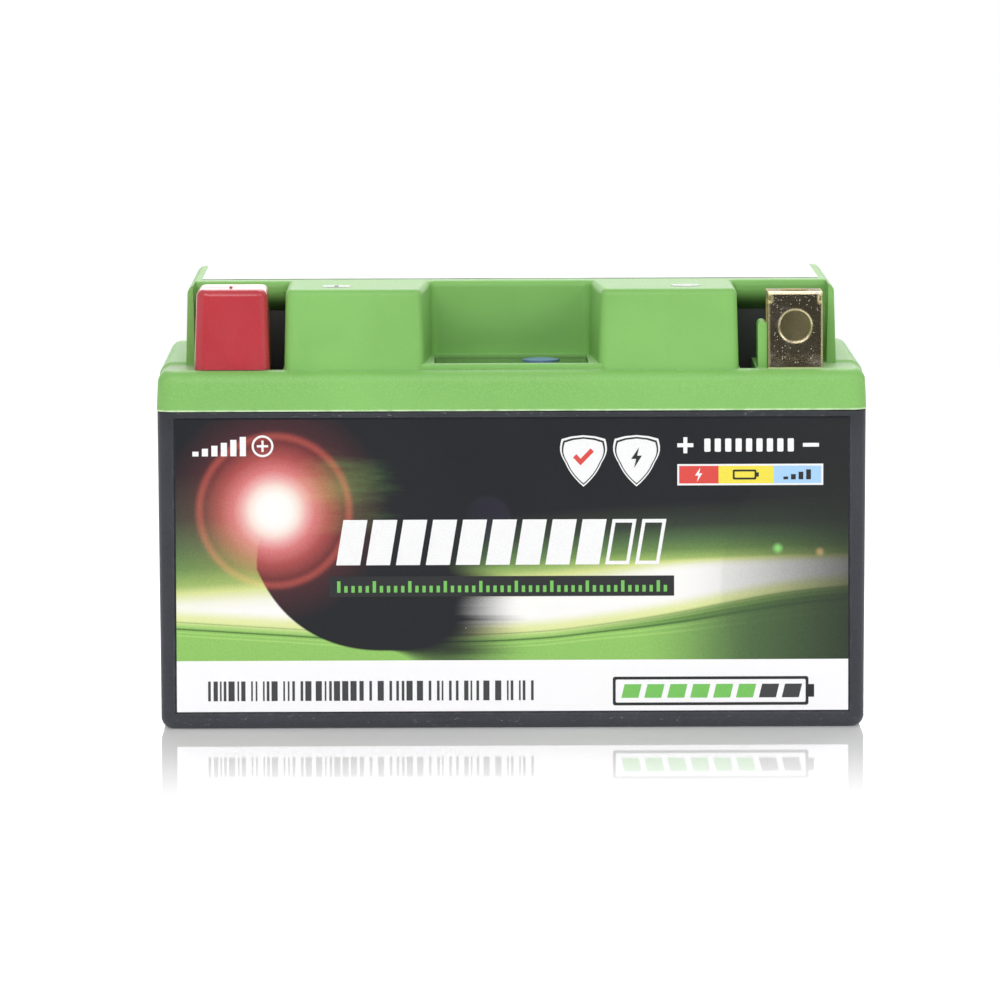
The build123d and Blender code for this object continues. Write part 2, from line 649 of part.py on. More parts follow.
def indicator_cable():
    """Lead from the indicator board's socket down to the balance board."""
    z = 72.6
    points = [(-10, -16.2, z), (-10, -7, z), (-10, -7, PCB_TOP + 4.1)]
    return tube(points, 3.0, 0.9)


def sense_wires():
    """Five leads from the header's back, each along its own lane, down to a strap."""
    left, right = -PAD_X, PAD_X
    first, last = CELL_YS[0], CELL_YS[3]
    middle = [(CELL_YS[n] + CELL_YS[n + 1]) / 2 for n in range(3)]
    strap_end = BUS_TOP
    # Start x, lane y, end x and end y of each lead.
    routes = [
        (-25.5, 21.2, left + 1.5, 21.2),
        (-22.5, 24.0, left - 1.0, middle[1]),
        (-19.5, 26.8, left - 7.0, first),
        (-13.5, 21.2, right, middle[2]),
        (-16.5, 24.0, right + 2.6, middle[0]),
    ]
    wires = []
    for start_x, lane, end_x, end_y in routes:
        points = [(start_x, HEADER_BACK, SENSE_Z), (start_x, lane, SENSE_Z), (end_x, lane, SENSE_Z)]
        if end_y != lane:
            points.append((end_x, end_y, SENSE_Z))
        points.append((end_x, end_y, strap_end))
        wires.append(tube(points, 1.7, WIRE_R))
    return Part() + wires


# ---- build and write ----------------------------------------------------------------------------
def main():
    save(lower_case(), "lower_case")
    save(front_label(), "front_label")
    save(lid(), "lid")
    save(lid_bead(), "lid_bead")
    save(top_label(), "top_label")
    plus, minus = polarity_marks()
    save(plus, "positive_mark")
    save(minus, "negative_mark")

    save(terminal(), "negative_terminal")
    save(mirrored(terminal()), "positive_terminal")
    save(terminal_carrier(), "negative_terminal_carrier")
    save(mirrored(terminal_carrier()), "positive_terminal_carrier")
    save(terminal_gasket(), "negative_terminal_gasket")
    save(mirrored(terminal_gasket()), "positive_terminal_gasket")
    save(terminal_rivets(), "terminal_rivets")
    save(terminal_cap(), "terminal_cap")

    save(indicator_window(), "indicator_window")
    save(indicator_fascia(), "indicator_fascia")
    save(test_button(), "test_button")
    save(indicator_tray(), "indicator_tray")
    save(tray_screws(), "tray_screws")
    save(indicator_board(), "indicator_board")
    save(charge_lights(), "charge_lights")
    save(tact_switch_body(), "tact_switch_body")
    save(tact_switch_plunger(), "tact_switch_plunger")
    save(indicator_socket(), "indicator_socket")
    save(indicator_cable(), "indicator_cable")

    pads = (-PAD_X, PAD_X)
    for number, y in enumerate(CELL_YS, start=1):
        save(cell(y, pads), "cell_" + str(number))
    for number in range(3):
        y = (CELL_YS[number] + CELL_YS[number + 1]) / 2
        spacer = bar((-57, 57), (y - 0.38, y + 0.38), (CELL_FOOT, CELL_TOP - 2))
        save(spacer, "cell_spacer_" + str(number + 1))
        x = PAD_X if number % 2 == 0 else -PAD_X
        save(busbar(x, number), "busbar_" + str(number + 1))
    save(cell_bands(), "cell_bands")
    save(floor_pad(), "floor_pad")
    save(long_foam(-1), "front_foam_block")
    save(long_foam(1), "rear_foam_block")
    save(end_foam(-1), "left_foam_block")
    save(end_foam(1), "right_foam_block")
    save(positive_riser(), "positive_riser")
    save(negative_riser(), "negative_riser")
    save(riser_sleeve(), "riser_sleeve")
    save(busbar_screws(), "busbar_screws")

    save(insulator_sheet(), "insulator_sheet")
    save(board_standoffs(), "board_standoffs")
    save(balance_board(), "balance_board")
    save(board_screws(), "board_screws")
    save(balance_resistors(), "balance_resistors")
    save(balance_mosfets(), "balance_mosfets")
    save(controller_chip(), "controller_chip")
    save(board_capacitors(), "board_capacitors")
    save(sense_header(), "sense_header")
    save(indicator_header(), "indicator_header")
    save(sense_wires(), "sense_wires")


main()
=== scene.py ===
import json
import random
from math import cos, pi, sin

import bmesh
import bpy
from mathutils import Matrix, Vector


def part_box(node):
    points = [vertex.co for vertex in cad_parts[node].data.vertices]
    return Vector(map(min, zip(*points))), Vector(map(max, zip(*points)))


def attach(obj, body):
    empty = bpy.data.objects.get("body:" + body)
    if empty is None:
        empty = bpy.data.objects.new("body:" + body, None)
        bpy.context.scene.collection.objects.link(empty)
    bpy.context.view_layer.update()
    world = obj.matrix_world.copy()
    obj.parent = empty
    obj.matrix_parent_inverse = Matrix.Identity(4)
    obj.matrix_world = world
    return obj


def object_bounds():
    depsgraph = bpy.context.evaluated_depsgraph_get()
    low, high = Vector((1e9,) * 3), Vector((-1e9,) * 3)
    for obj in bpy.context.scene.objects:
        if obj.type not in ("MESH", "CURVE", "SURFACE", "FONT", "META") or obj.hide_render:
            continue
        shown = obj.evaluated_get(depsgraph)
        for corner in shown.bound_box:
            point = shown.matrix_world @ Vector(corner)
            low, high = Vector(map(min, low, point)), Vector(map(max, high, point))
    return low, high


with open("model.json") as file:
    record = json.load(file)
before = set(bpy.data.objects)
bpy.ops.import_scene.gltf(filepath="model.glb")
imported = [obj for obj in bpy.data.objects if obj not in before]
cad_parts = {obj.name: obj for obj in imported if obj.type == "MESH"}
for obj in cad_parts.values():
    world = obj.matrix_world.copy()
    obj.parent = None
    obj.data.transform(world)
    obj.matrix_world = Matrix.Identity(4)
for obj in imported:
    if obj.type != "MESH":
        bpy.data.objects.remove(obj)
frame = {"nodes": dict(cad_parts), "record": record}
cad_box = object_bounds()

# The looks of a 12 V motorcycle battery: materials for every part, the printed graphics on its
# two labels, and a white studio. Lengths are metres; MM turns millimetres into metres.
MM = 0.001
low_corner, high_corner = (Vector(corner) for corner in cad_box)
CENTRE = (low_corner + high_corner) / 2
LABEL_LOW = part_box("front_label")[0]
TOP_LOW, TOP_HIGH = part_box("top_label")
STRAP_LOW, STRAP_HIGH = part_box("negative_terminal")
CASE_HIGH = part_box("lower_case")[1]
BEAD_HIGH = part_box("lid_bead")[1]
COLOURS = {row["slot"]: row["base_color"][:3] for row in frame["record"]["materials"]}


def tone(red, green, blue):
    """A linear colour from the 0 to 255 numbers that a screen shows."""
    scaled = [channel / 255 for channel in (red, green, blue)]
    return [c / 12.92 if c <= 0.04045 else ((c + 0.055) / 1.055) ** 2.4 for c in scaled]


def shade(colour, factor):
    """A colour made darker or brighter by a factor."""
    return [min(channel * factor, 1.0) for channel in colour]


# ---- node trees ---------------------------------------------------------------------------------
class Tree:
    """A node tree. Each method adds nodes and returns the last one's output."""

    def __init__(self, tree):
        self.tree = tree

    def node(self, kind, **settings):
        made = self.tree.nodes.new(kind)
        for key, value in settings.items():
            setattr(made, key, value)
        return made

    def feed(self, socket, value):
        """Link an output to a socket, or set the socket to a plain value."""
        if isinstance(value, bpy.types.NodeSocket):
            self.tree.links.new(value, socket)
        elif hasattr(value, "__len__") and len(value) == 3 and socket.type == "RGBA":
            socket.default_value = (*value, 1.0)
        else:
            socket.default_value = value

    def math(self, operation, *values):
        """A sum, product or other operation on values and outputs."""
        made = self.node("ShaderNodeMath", operation=operation)
        for socket, value in zip(made.inputs, values):
            self.feed(socket, value)
        return made.outputs[0]

    def split(self, vector):
        """A vector's three parts."""
        made = self.node("ShaderNodeSeparateXYZ")
        self.feed(made.inputs[0], vector)
        return made.outputs

    def smooth(self, value, start, end, low=0.0, high=1.0):
        """A smooth step from low at start to high at end."""
        made = self.node("ShaderNodeMapRange", interpolation_type="SMOOTHSTEP")
        for socket, number in zip(made.inputs, (value, start, end, low, high)):
            self.feed(socket, number)
        return made.outputs[0]

    def stripe(self, value, middle, half):
        """1 where a value is close to the middle, falling smoothly to 0 at half away."""
        return self.smooth(self.math("ABSOLUTE", self.math("SUBTRACT", value, middle)), half, 0.0)


class Paint(Tree):
    """A material's node tree, with its patterns laid out in the battery's own coordinates."""

    def __init__(self, name):
        self.material = bpy.data.materials.new(name)
        self.material.use_nodes = True
        super().__init__(self.material.node_tree)
        self.shader = self.tree.nodes["Principled BSDF"]
        self.place = self.node("ShaderNodeTexCoord").outputs["Object"]

    def axes(self):
        """The place along x, y and z in millimetres."""
        return [self.math("DIVIDE", part, MM) for part in self.split(self.place)]

    def upward(self):
        """How far a face turns up: 1 on level tops, 0 on walls."""
        return self.split(self.node("ShaderNodeNewGeometry").outputs["True Normal"])[2]

    def mix(self, factor, first, second, blend="MIX"):
        """The first colour where the factor is 0 and the second, or their blend, where it is 1."""
        made = self.node("ShaderNodeMix", data_type="RGBA", blend_type=blend)
        self.feed(made.inputs[0], factor)
        self.feed(made.inputs[6], first)
        self.feed(made.inputs[7], second)
        return made.outputs[2]

    def ramp(self, value, stops):
        """Colours blended along a value; stops are pairs of a value and a screen colour, in order."""
        low, high = stops[0][0], stops[-1][0]
        made = self.node("ShaderNodeValToRGB")
        self.feed(made.inputs[0], self.math("DIVIDE", self.math("SUBTRACT", value, low), high - low))
        spots = made.color_ramp.elements
        for spot, colour in stops[1:-1]:
            spots.new((spot - low) / (high - low)).color = (*tone(*colour), 1.0)
        spots[0].color = (*tone(*stops[0][1]), 1.0)
        spots[-1].color = (*tone(*stops[-1][1]), 1.0)
        return made.outputs[0]

    def stretched(self, scale):
        """Object coordinates scaled differently along each axis."""
        made = self.node("ShaderNodeVectorMath", operation="MULTIPLY")
        self.feed(made.inputs[0], self.place)
        made.inputs[1].default_value = scale
        return made.outputs[0]

    def noise(self, size, detail=3.0, rough=0.55, vector=None):
        """Noise from 0 to 1 whose blotches are about size metres across."""
        made = self.node("ShaderNodeTexNoise")
        self.feed(made.inputs["Vector"], vector or self.place)
        made.inputs["Scale"].default_value = 1 / size
        made.inputs["Detail"].default_value = detail
        made.inputs["Roughness"].default_value = rough
        return made.outputs["Fac"]

    def specks(self, spacing, radius, share=1.0):
        """Small round specks: spacing apart, of a radius, in a share of the cells."""
        made = self.node("ShaderNodeTexVoronoi")
        self.feed(made.inputs["Vector"], self.place)
        made.inputs["Scale"].default_value = 1 / spacing
        dots = self.smooth(made.outputs["Distance"], radius / spacing, 0.5 * radius / spacing)
        lot = self.node("ShaderNodeSeparateColor")
        self.feed(lot.inputs[0], made.outputs["Color"])
        return self.math("MULTIPLY", dots, self.math("LESS_THAN", lot.outputs[0], share))

    def rounded(self, radius):
        """A normal that rounds sharp edges off by a radius."""
        bevel = self.node("ShaderNodeBevel", samples=4)
        bevel.inputs["Radius"].default_value = radius
        return bevel.outputs[0]

    def edges(self, radius):
        """1 along sharp and rounded edges, 0 on open faces."""
        product = self.node("ShaderNodeVectorMath", operation="DOT_PRODUCT")
        self.feed(product.inputs[0], self.rounded(radius))
        self.feed(product.inputs[1], self.node("ShaderNodeNewGeometry").outputs["Normal"])
        return self.smooth(product.outputs["Value"], 0.985, 0.80)

    def bump(self, height, depth, strength=1.0, under=None):
        """A normal raised by a height from 0 to 1 that stands for a depth in metres."""
        made = self.node("ShaderNodeBump")
        made.inputs["Strength"].default_value = strength
        made.inputs["Distance"].default_value = depth
        self.feed(made.inputs["Height"], height)
        if under:
            self.feed(made.inputs["Normal"], under)
        return made.outputs[0]

    def finish(self, **inputs):
        """Set the shader's inputs by name, with underscores for spaces, and give the material."""
        for name, value in inputs.items():
            self.feed(self.shader.inputs[name.replace("_", " ")], value)
        return self.material


# ---- material families --------------------------------------------------------------------------
def moulded(slot, rough, grain=0.45 * MM, depth=0.012 * MM, wear=0.0, dust=0.0, dusty=None):
    """Injection-moulded plastic: fine spark-eroded grain, cloudy tint, rubbed edges, dust specks."""
    paint = Paint(slot)
    colour = COLOURS[slot]
    cloud = paint.noise(26 * MM, 4.0)
    grit = paint.noise(grain, 2.0, 0.5)
    tint = paint.mix(paint.smooth(cloud, 0.3, 0.7), shade(colour, 0.93), shade(colour, 1.06))
    tint = paint.mix(paint.smooth(grit, 0.42, 0.68, 0.0, 0.22), tint, shade(colour, 1.22))
    if wear:
        patchy = paint.smooth(paint.noise(1.6 * MM, 4.0, 0.65), 0.50, 0.66, 0.0, wear)
        rubbed = paint.math("MULTIPLY", paint.edges(0.5 * MM), patchy)
        tint = paint.mix(rubbed, tint, [0.55 + 0.3 * channel for channel in colour])
    if dust:
        settled = paint.math("MULTIPLY", paint.specks(2.6 * MM, 0.11 * MM, dust), 0.7)
        tint = paint.mix(settled, tint, dusty)
    gloss = paint.smooth(paint.noise(7 * MM, 5.0), 0.3, 0.7, rough - 0.05, rough + 0.06)
    normal = paint.bump(grit, depth, 0.6, paint.rounded(0.25 * MM))
    return paint.finish(Base_Color=tint, Roughness=gloss, Normal=normal)


def rubbery(slot, rough):
    """Soft black rubber: a dull bloom in patches and a coarse skin."""
    paint = Paint(slot)
    colour = COLOURS[slot]
    bloom = paint.smooth(paint.noise(5 * MM, 5.0, 0.6), 0.45, 0.75)
    tint = paint.mix(bloom, colour, [0.05 + channel for channel in colour])
    skin = paint.noise(0.3 * MM, 3.0)
    gloss = paint.smooth(bloom, 0.0, 1.0, rough, rough + 0.15)
    return paint.finish(Base_Color=tint, Roughness=gloss, Normal=paint.bump(skin, 0.02 * MM, 0.6))


def metal(slot, rough, brush=(1.0, 1.0, 1.0), stain=None, stained=0.3):
    """Bare metal: drawn or rolled scratches along one axis, stains and dulled patches."""
    paint = Paint(slot)
    colour = COLOURS[slot]
    lines = paint.noise(0.25 * MM, 3.0, 0.6, paint.stretched(brush))
    patches = paint.noise(3.5 * MM, 5.0, 0.6)
    tint = paint.mix(paint.smooth(lines, 0.35, 0.7, 0.0, 0.3), colour, shade(colour, 0.72))
    tint = paint.mix(paint.smooth(patches, 0.5, 0.8, 0.0, stained), tint, stain or shade(colour, 0.45))
    gloss = paint.math("ADD", paint.smooth(patches, 0.35, 0.75, 0.0, 0.18), rough)
    normal = paint.bump(lines, 0.006 * MM, 0.5)
    return paint.finish(Base_Color=tint, Roughness=gloss, Normal=normal, Metallic=1.0)


def film(slot, rough, coat):
    """Printed plastic film: even ink with faint fibre mottle, a thin clear coat and painted shade on its
    cut edge.
    """
    paint = Paint(slot)
    colour = COLOURS[slot]
    mottle = paint.noise(0.8 * MM, 4.0)
    waves = paint.noise(14 * MM, 2.0)
    tint = paint.mix(paint.smooth(mottle, 0.35, 0.7), colour, shade(colour, 0.96))
    # Painted shade: the cut edges are darkened in waves, standing in for the shadow along the film's edge.
    cut_edge = paint.math("LESS_THAN", paint.math("ABSOLUTE", paint.upward()), 0.5)
    edge_shade = paint.smooth(waves, 0.35, 0.6, 0.55, 0.95)
    tint = paint.mix(paint.math("MULTIPLY", cut_edge, edge_shade), tint, tone(54, 52, 60))
    gloss = paint.smooth(waves, 0.3, 0.7, rough - 0.04, rough + 0.05)
    normal = paint.bump(waves, 0.03 * MM, 0.5, paint.bump(mottle, 0.004 * MM, 0.5))
    return paint.finish(
        Base_Color=tint, Roughness=gloss, Normal=normal, Coat_Weight=coat, Coat_Roughness=0.12,
    )


def ink(name, colour, rough=0.38):
    """Screen-printed ink on a label: a little uneven in tone and slightly raised in grain."""
    paint = Paint(name)
    mottle = paint.noise(0.35 * MM, 3.0)
    cloud = paint.noise(9 * MM, 3.0)
    tint = paint.mix(paint.smooth(mottle, 0.35, 0.7), colour, shade(colour, 0.93))
    tint = paint.mix(paint.smooth(cloud, 0.4, 0.8, 0.0, 0.5), tint, shade(colour, 0.95))
    gloss = paint.smooth(cloud, 0.3, 0.7, rough - 0.04, rough + 0.05)
    return paint.finish(Base_Color=tint, Roughness=gloss, Normal=paint.bump(mottle, 0.004 * MM, 0.5))


# Places on the brass strap, in millimetres.
STRAP_TOP = STRAP_HIGH.z / MM
LEG_BACK = STRAP_LOW.y / MM + 1.8  # the rear face of its front leg
FOOT_MARKS = 78.0  # height of the rubbed marks


def plated_terminal(slot):
    """Plated brass strap: a dull dark mirror, rounded edges with a painted highlight, pale dust and rubbed
    marks.
    """
    paint = Paint(slot)
    colour = COLOURS[slot]
    depth, height = paint.axes()[1:]
    lines = paint.noise(0.3 * MM, 3.0, 0.6, paint.stretched((1.0, 1.0, 0.08)))
    haze = paint.smooth(paint.noise(5 * MM, 6.0, 0.7), 0.4, 0.7)
    tint = paint.mix(paint.smooth(haze, 0.0, 1.0, 0.2, 0.7), colour, tone(196, 186, 176))
    tint = paint.mix(paint.smooth(lines, 0.5, 0.8, 0.0, 0.2), tint, shade(colour, 0.7))
    pits = paint.math("MULTIPLY", paint.specks(1.1 * MM, 0.09 * MM, 0.4), 0.8)
    tint = paint.mix(pits, tint, tone(52, 44, 32))
    # Marks rubbed bright near the foot of the front leg.
    marks = paint.smooth(paint.noise(0.22 * MM, 3.0, 0.6), 0.55, 0.68, 0.0, 0.8)
    marks = paint.math("MULTIPLY", paint.stripe(height, FOOT_MARKS, 1.6), marks)
    tint = paint.mix(marks, tint, tone(232, 205, 140))
    # Behind the front leg the plating is dull, and its colour is painted darker as shade inside the strap.
    inside = paint.smooth(depth, LEG_BACK, LEG_BACK + 0.6, 0.0, 0.6)
    tint = paint.mix(inside, tint, tone(64, 58, 30))
    # Dust, thickest under the bend.
    upper = paint.smooth(height, STRAP_TOP - 9.0, STRAP_TOP - 1.0, 0.3, 0.85)
    dust = paint.specks(0.55 * MM, 0.12 * MM, upper)
    dust = paint.math("MAXIMUM", dust, paint.math("MULTIPLY", marks, 0.5))
    tint = paint.mix(dust, tint, tone(206, 200, 184))
    gloss = paint.smooth(haze, 0.0, 1.0, 0.06, 0.12)
    gloss = paint.math("ADD", gloss, paint.math("MULTIPLY", dust, 0.5))
    gloss = paint.math("ADD", gloss, inside)
    # Painted highlight: the strap's edges are painted bright, as if they caught the light.
    edge_highlight = paint.math("MULTIPLY", paint.edges(0.85 * MM), paint.smooth(haze, 0.0, 1.0, 1.0, 0.8))
    tint = paint.mix(edge_highlight, tint, tone(255, 241, 184))
    gloss = paint.math("ADD", gloss, paint.math("MULTIPLY", edge_highlight, 0.45))
    shine = paint.smooth(dust, 0.0, 1.0, 1.0, 0.3)
    normal = paint.bump(haze, 0.004 * MM, 0.3, paint.rounded(0.5 * MM))
    normal = paint.bump(lines, 0.003 * MM, 0.3, normal)
    return paint.finish(Base_Color=tint, Roughness=gloss, Normal=normal, Metallic=shine)


def glassy(slot, rough, cloud):
    """Clear moulded plastic with a faint haze and hairline scratches."""
    paint = Paint(slot)
    colour = COLOURS[slot]
    haze = paint.noise(6 * MM, 4.0)
    scratches = paint.noise(0.5 * MM, 2.0, 0.5, paint.stretched((0.05, 1.0, 1.0)))
    tint = paint.mix(paint.smooth(haze, 0.3, 0.7, 0.0, cloud), shade(colour, 1.6), shade(colour, 1.1))
    gloss = paint.math("ADD", paint.smooth(scratches, 0.62, 0.75, 0.0, 0.15), rough)
    return paint.finish(
        Base_Color=tint, Roughness=gloss, Transmission_Weight=0.9, IOR=1.49,
        Normal=paint.bump(scratches, 0.004 * MM, 0.3),
    )


def circuit_board(slot):
    """Green solder mask with raised copper tracks, pads and a woven glass ground."""
    paint = Paint(slot)
    colour = COLOURS[slot]
    along, depth = paint.axes()[:2]
    lanes_each_mm, threads_each_mm = 0.42, 9.0
    drift = paint.math("MULTIPLY", paint.noise(22 * MM, 0.0), 26.0)
    lanes = paint.math("ADD", paint.math("MULTIPLY", depth, lanes_each_mm), drift)
    track = paint.stripe(paint.math("FRACT", lanes), 0.5, 0.22)
    weave_x = paint.math("SINE", paint.math("MULTIPLY", along, threads_each_mm))
    weave_y = paint.math("SINE", paint.math("MULTIPLY", depth, threads_each_mm))
    weave = paint.math("MULTIPLY", weave_x, weave_y)
    tint = paint.mix(paint.smooth(weave, -1.0, 1.0, 0.0, 0.5), colour, shade(colour, 0.7))
    tint = paint.mix(paint.math("MULTIPLY", track, 0.7), tint, shade(colour, 2.2))
    tint = paint.mix(paint.specks(3.2 * MM, 0.5 * MM, 0.35), tint, tone(205, 190, 140))
    gloss = paint.smooth(track, 0.0, 1.0, 0.42, 0.28)
    return paint.finish(Base_Color=tint, Roughness=gloss, Normal=paint.bump(track, 0.03 * MM, 0.5))


def foam(slot):
    """Closed-cell foam: rounded cells with darker rims."""
    paint = Paint(slot)
    colour = COLOURS[slot]
    cells = paint.node("ShaderNodeTexVoronoi")
    paint.feed(cells.inputs["Vector"], paint.place)
    cells.inputs["Scale"].default_value = 1 / (0.9 * MM)
    depth = cells.outputs["Distance"]
    tint = paint.mix(paint.smooth(depth, 0.1, 0.6), shade(colour, 1.25), shade(colour, 0.55))
    tint = paint.mix(paint.smooth(paint.noise(18 * MM), 0.35, 0.7, 0.0, 0.4), tint, colour)
    return paint.finish(Base_Color=tint, Roughness=0.92, Normal=paint.bump(depth, -0.25 * MM, 0.8))


def tape(slot):
    """Filament tape: glass threads side by side under a glossy film."""
    paint = Paint(slot)
    colour = COLOURS[slot]
    thread_pitch = 1.2
    turns = paint.math("DIVIDE", paint.axes()[2], thread_pitch)
    thread = paint.stripe(paint.math("FRACT", turns), 0.5, 0.45)
    tint = paint.mix(thread, shade(colour, 0.78), shade(colour, 1.15))
    tint = paint.mix(paint.smooth(paint.noise(4 * MM), 0.4, 0.8, 0.0, 0.4), tint, shade(colour, 0.85))
    return paint.finish(Base_Color=tint, Roughness=0.35, Normal=paint.bump(thread, 0.08 * MM, 0.6))


# ---- the front label's picture ------------------------------------------------------------------
STRIP_TOP = 14.55  # millimetres above the base, as are all heights in the label's picture
FLARE = (-50.2, 46.4)  # its middle
FLARE_RING = 15.8  # radius of its thin ring
FLARE_HAZE = (-36.5, 51.0)  # middle of the green haze at its right
# The flare's light over the distance from its middle.
FLARE_LIGHT = [
    (0.0, (250, 248, 248)), (3.6, (248, 242, 238)), (5.2, (242, 222, 212)), (6.8, (232, 172, 170)),
    (8.6, (214, 120, 120)), (11.5, (170, 74, 70)), (14.4, (116, 42, 40)), (17.5, (64, 22, 26)),
    (24.0, (0, 0, 0)),
]
SHADOW = (-34.0, 34.0)  # middle of the soft dark patch
SHADOW_REACH = (20.0, 17.4)  # its half width and half height
SHADOW_LEAN = 0.45  # how far its lower half moves to the right for each millimetre down
# The light sweep's two edges, as height over place along the label.
SWEEP_UPPER = [(-71, 30.4), (-40, 32.0), (-2.4, 33.2), (22, 35.4), (47, 36.6), (71, 37.2)]
SWEEP_LOWER = [
    (-71, 23.2), (-49, 21.8), (-25, 20.4), (5, 20.9), (20, 22.6), (35, 25.0), (46, 27.2), (58, 29.3),
    (71, 30.6),
]
# Colours over the height above the sweep's upper edge, from inside the sweep up to the dark ground.
SWEEP_GLOW = [
    (-6.0, (246, 245, 243)), (-4.0, (240, 240, 226)), (-1.6, (214, 222, 150)), (0.0, (158, 186, 106)),
    (1.8, (110, 143, 80)), (4.0, (84, 112, 72)), (7.0, (54, 64, 52)), (12.0, (25, 28, 33)),
    (60.0, (28, 30, 36)),
]
# Lines under the sweep: course, half width, strength and colour.
SWEEP_LINES = [
    (0.35, 0.22, 0.45, (96, 128, 56)),
    (0.95, 0.30, 0.35, (176, 214, 118)),
    (1.80, 0.34, 0.75, (46, 80, 38)),
    (2.45, 0.22, 0.40, (186, 222, 130)),
    (3.20, 0.32, 0.40, (190, 228, 134)),
]
# Faint discs of stray light, and small sparks: place, radius, strength and colour.
GHOSTS = [((78.0, 30.5), 34.0, 0.09, (58, 74, 52)), ((-5.1, 44.7), 4.8, 0.13, (84, 72, 112))]
GHOST_FADE = (56.0, 46.0)  # the discs are gone at the first height and whole at the second
SPARKS = [((56.1, 38.1), 1.5, 0.8, (150, 225, 130)), ((65.0, 37.3), 1.3, 0.7, (190, 160, 110))]


def sweep_edge(paint, along, points):
    """The height of a smooth line through a few points, as a function of the place along it."""
    reach, top = 72.0, 60.0
    made = paint.node("ShaderNodeFloatCurve")
    line = made.mapping.curves[0]
    scaled = [((x + reach) / (2 * reach), z / top) for x, z in points]
    line.points[0].location = scaled[0]
    line.points[1].location = scaled[-1]
    for spot in scaled[1:-1]:
        line.points.new(*spot)
    made.mapping.update()
    share = paint.math("DIVIDE", paint.math("ADD", along, reach), 2 * reach)
    paint.feed(made.inputs["Value"], share)
    return paint.math("MULTIPLY", made.outputs[0], top)


def distance_to(paint, along, height, spot, reach=(1.0, 1.0), power=2.0):
    """Distance from a spot in units of its reach; a power above 2 makes the contours squarer."""
    x = paint.math("ABSOLUTE", paint.math("DIVIDE", paint.math("SUBTRACT", along, spot[0]), reach[0]))
    z = paint.math("ABSOLUTE", paint.math("DIVIDE", paint.math("SUBTRACT", height, spot[1]), reach[1]))
    total = paint.math("ADD", paint.math("POWER", x, power), paint.math("POWER", z, power))
    return paint.math("POWER", total, 1 / power)


def light_sweep(paint, along, height):
    """The sweep of light over its green glow, with fine lines along its lower edge."""
    over = paint.math("SUBTRACT", height, sweep_edge(paint, along, SWEEP_UPPER))
    under = paint.math("SUBTRACT", sweep_edge(paint, along, SWEEP_LOWER), height)
    # The glow falls off slowly at the left, and the sweep's edge is crisp at the right.
    fall_off = paint.smooth(along, -62, -40, 0.5, 1.0)
    above = paint.math("MULTIPLY", paint.math("MAXIMUM", over, 0.0), fall_off)
    crispness = paint.smooth(along, 15, 45, 1.0, 2.6)
    inside = paint.math("MULTIPLY", paint.math("MINIMUM", over, 0.0), crispness)
    picture = paint.ramp(paint.math("ADD", above, inside), SWEEP_GLOW)
    # Below it, a pale edge and then plain green, with a dark band and the lines fanning to the right.
    picture = paint.mix(paint.smooth(under, -3.0, -0.3), picture, tone(226, 232, 168))
    picture = paint.mix(paint.smooth(under, -0.4, 1.8), picture, tone(148, 198, 104))
    course = paint.math("DIVIDE", under, paint.smooth(along, 10, 60, 1.0, 1.8))
    band = paint.math("MULTIPLY", paint.stripe(course, 1.1, 1.2), paint.smooth(along, 5, 45, 0.0, 0.75))
    picture = paint.mix(band, picture, tone(68, 104, 54))
    for middle, half, strength, colour in SWEEP_LINES:
        line = paint.math("MULTIPLY", paint.stripe(course, middle, half), strength)
        picture = paint.mix(line, picture, tone(*colour))
    # The right-hand end sinks into the dark.
    lower = paint.smooth(under, 0.0, 4.0, 0.0, 0.85)
    lower_right = paint.math("MULTIPLY", paint.smooth(along, 24, 52), lower)
    picture = paint.mix(lower_right, picture, tone(80, 108, 70))
    return paint.mix(paint.smooth(along, 32, 80, 0.0, 0.95), picture, tone(33, 36, 36))


def dark_patch(paint, along, height, picture):
    """A soft dark patch over the middle of the sweep, fading to the right in streaks."""
    streaks = paint.noise(9 * MM, 4.0, 0.6, paint.stretched((0.08, 1.0, 4.0)))
    drop = paint.math("MAXIMUM", paint.math("SUBTRACT", SHADOW[1], height), 0.0)
    leaning = paint.math("SUBTRACT", along, paint.math("MULTIPLY", drop, SHADOW_LEAN))
    away = distance_to(paint, leaning, height, SHADOW, SHADOW_REACH, 2.5)
    trail = paint.smooth(along, -18, -8, 0.0, 0.08)
    ragged = paint.math("MULTIPLY", paint.smooth(streaks, 0.3, 0.7, -1.0, 1.0), trail)
    rim = paint.smooth(along, -26, -10, 1.012, 1.7)
    return paint.mix(paint.smooth(paint.math("ADD", away, ragged), rim, 0.985), picture, tone(28, 30, 35))


def flare(paint, along, height, picture):
    """A round flare: green haze at its right, then its own light and a thin ring, all added."""
    streaks = paint.noise(8 * MM, 4.0, 0.6, paint.stretched((0.3, 1.0, 1.6)))
    haze = distance_to(paint, along, height, FLARE_HAZE, (1.5, 1.0))
    clouded = paint.math("ADD", haze, paint.smooth(streaks, 0.3, 0.7, -2.5, 2.5))
    picture = paint.mix(paint.smooth(clouded, 10.5, 0.0, 0.0, 0.5), picture, tone(112, 158, 88))
    far = distance_to(paint, along, height, FLARE)
    picture = paint.mix(1.0, picture, paint.ramp(far, FLARE_LIGHT), "SCREEN")
    ring = paint.mix(paint.stripe(far, FLARE_RING, 1.3), tone(0, 0, 0), tone(140, 58, 46))
    return paint.mix(1.0, picture, ring, "SCREEN")


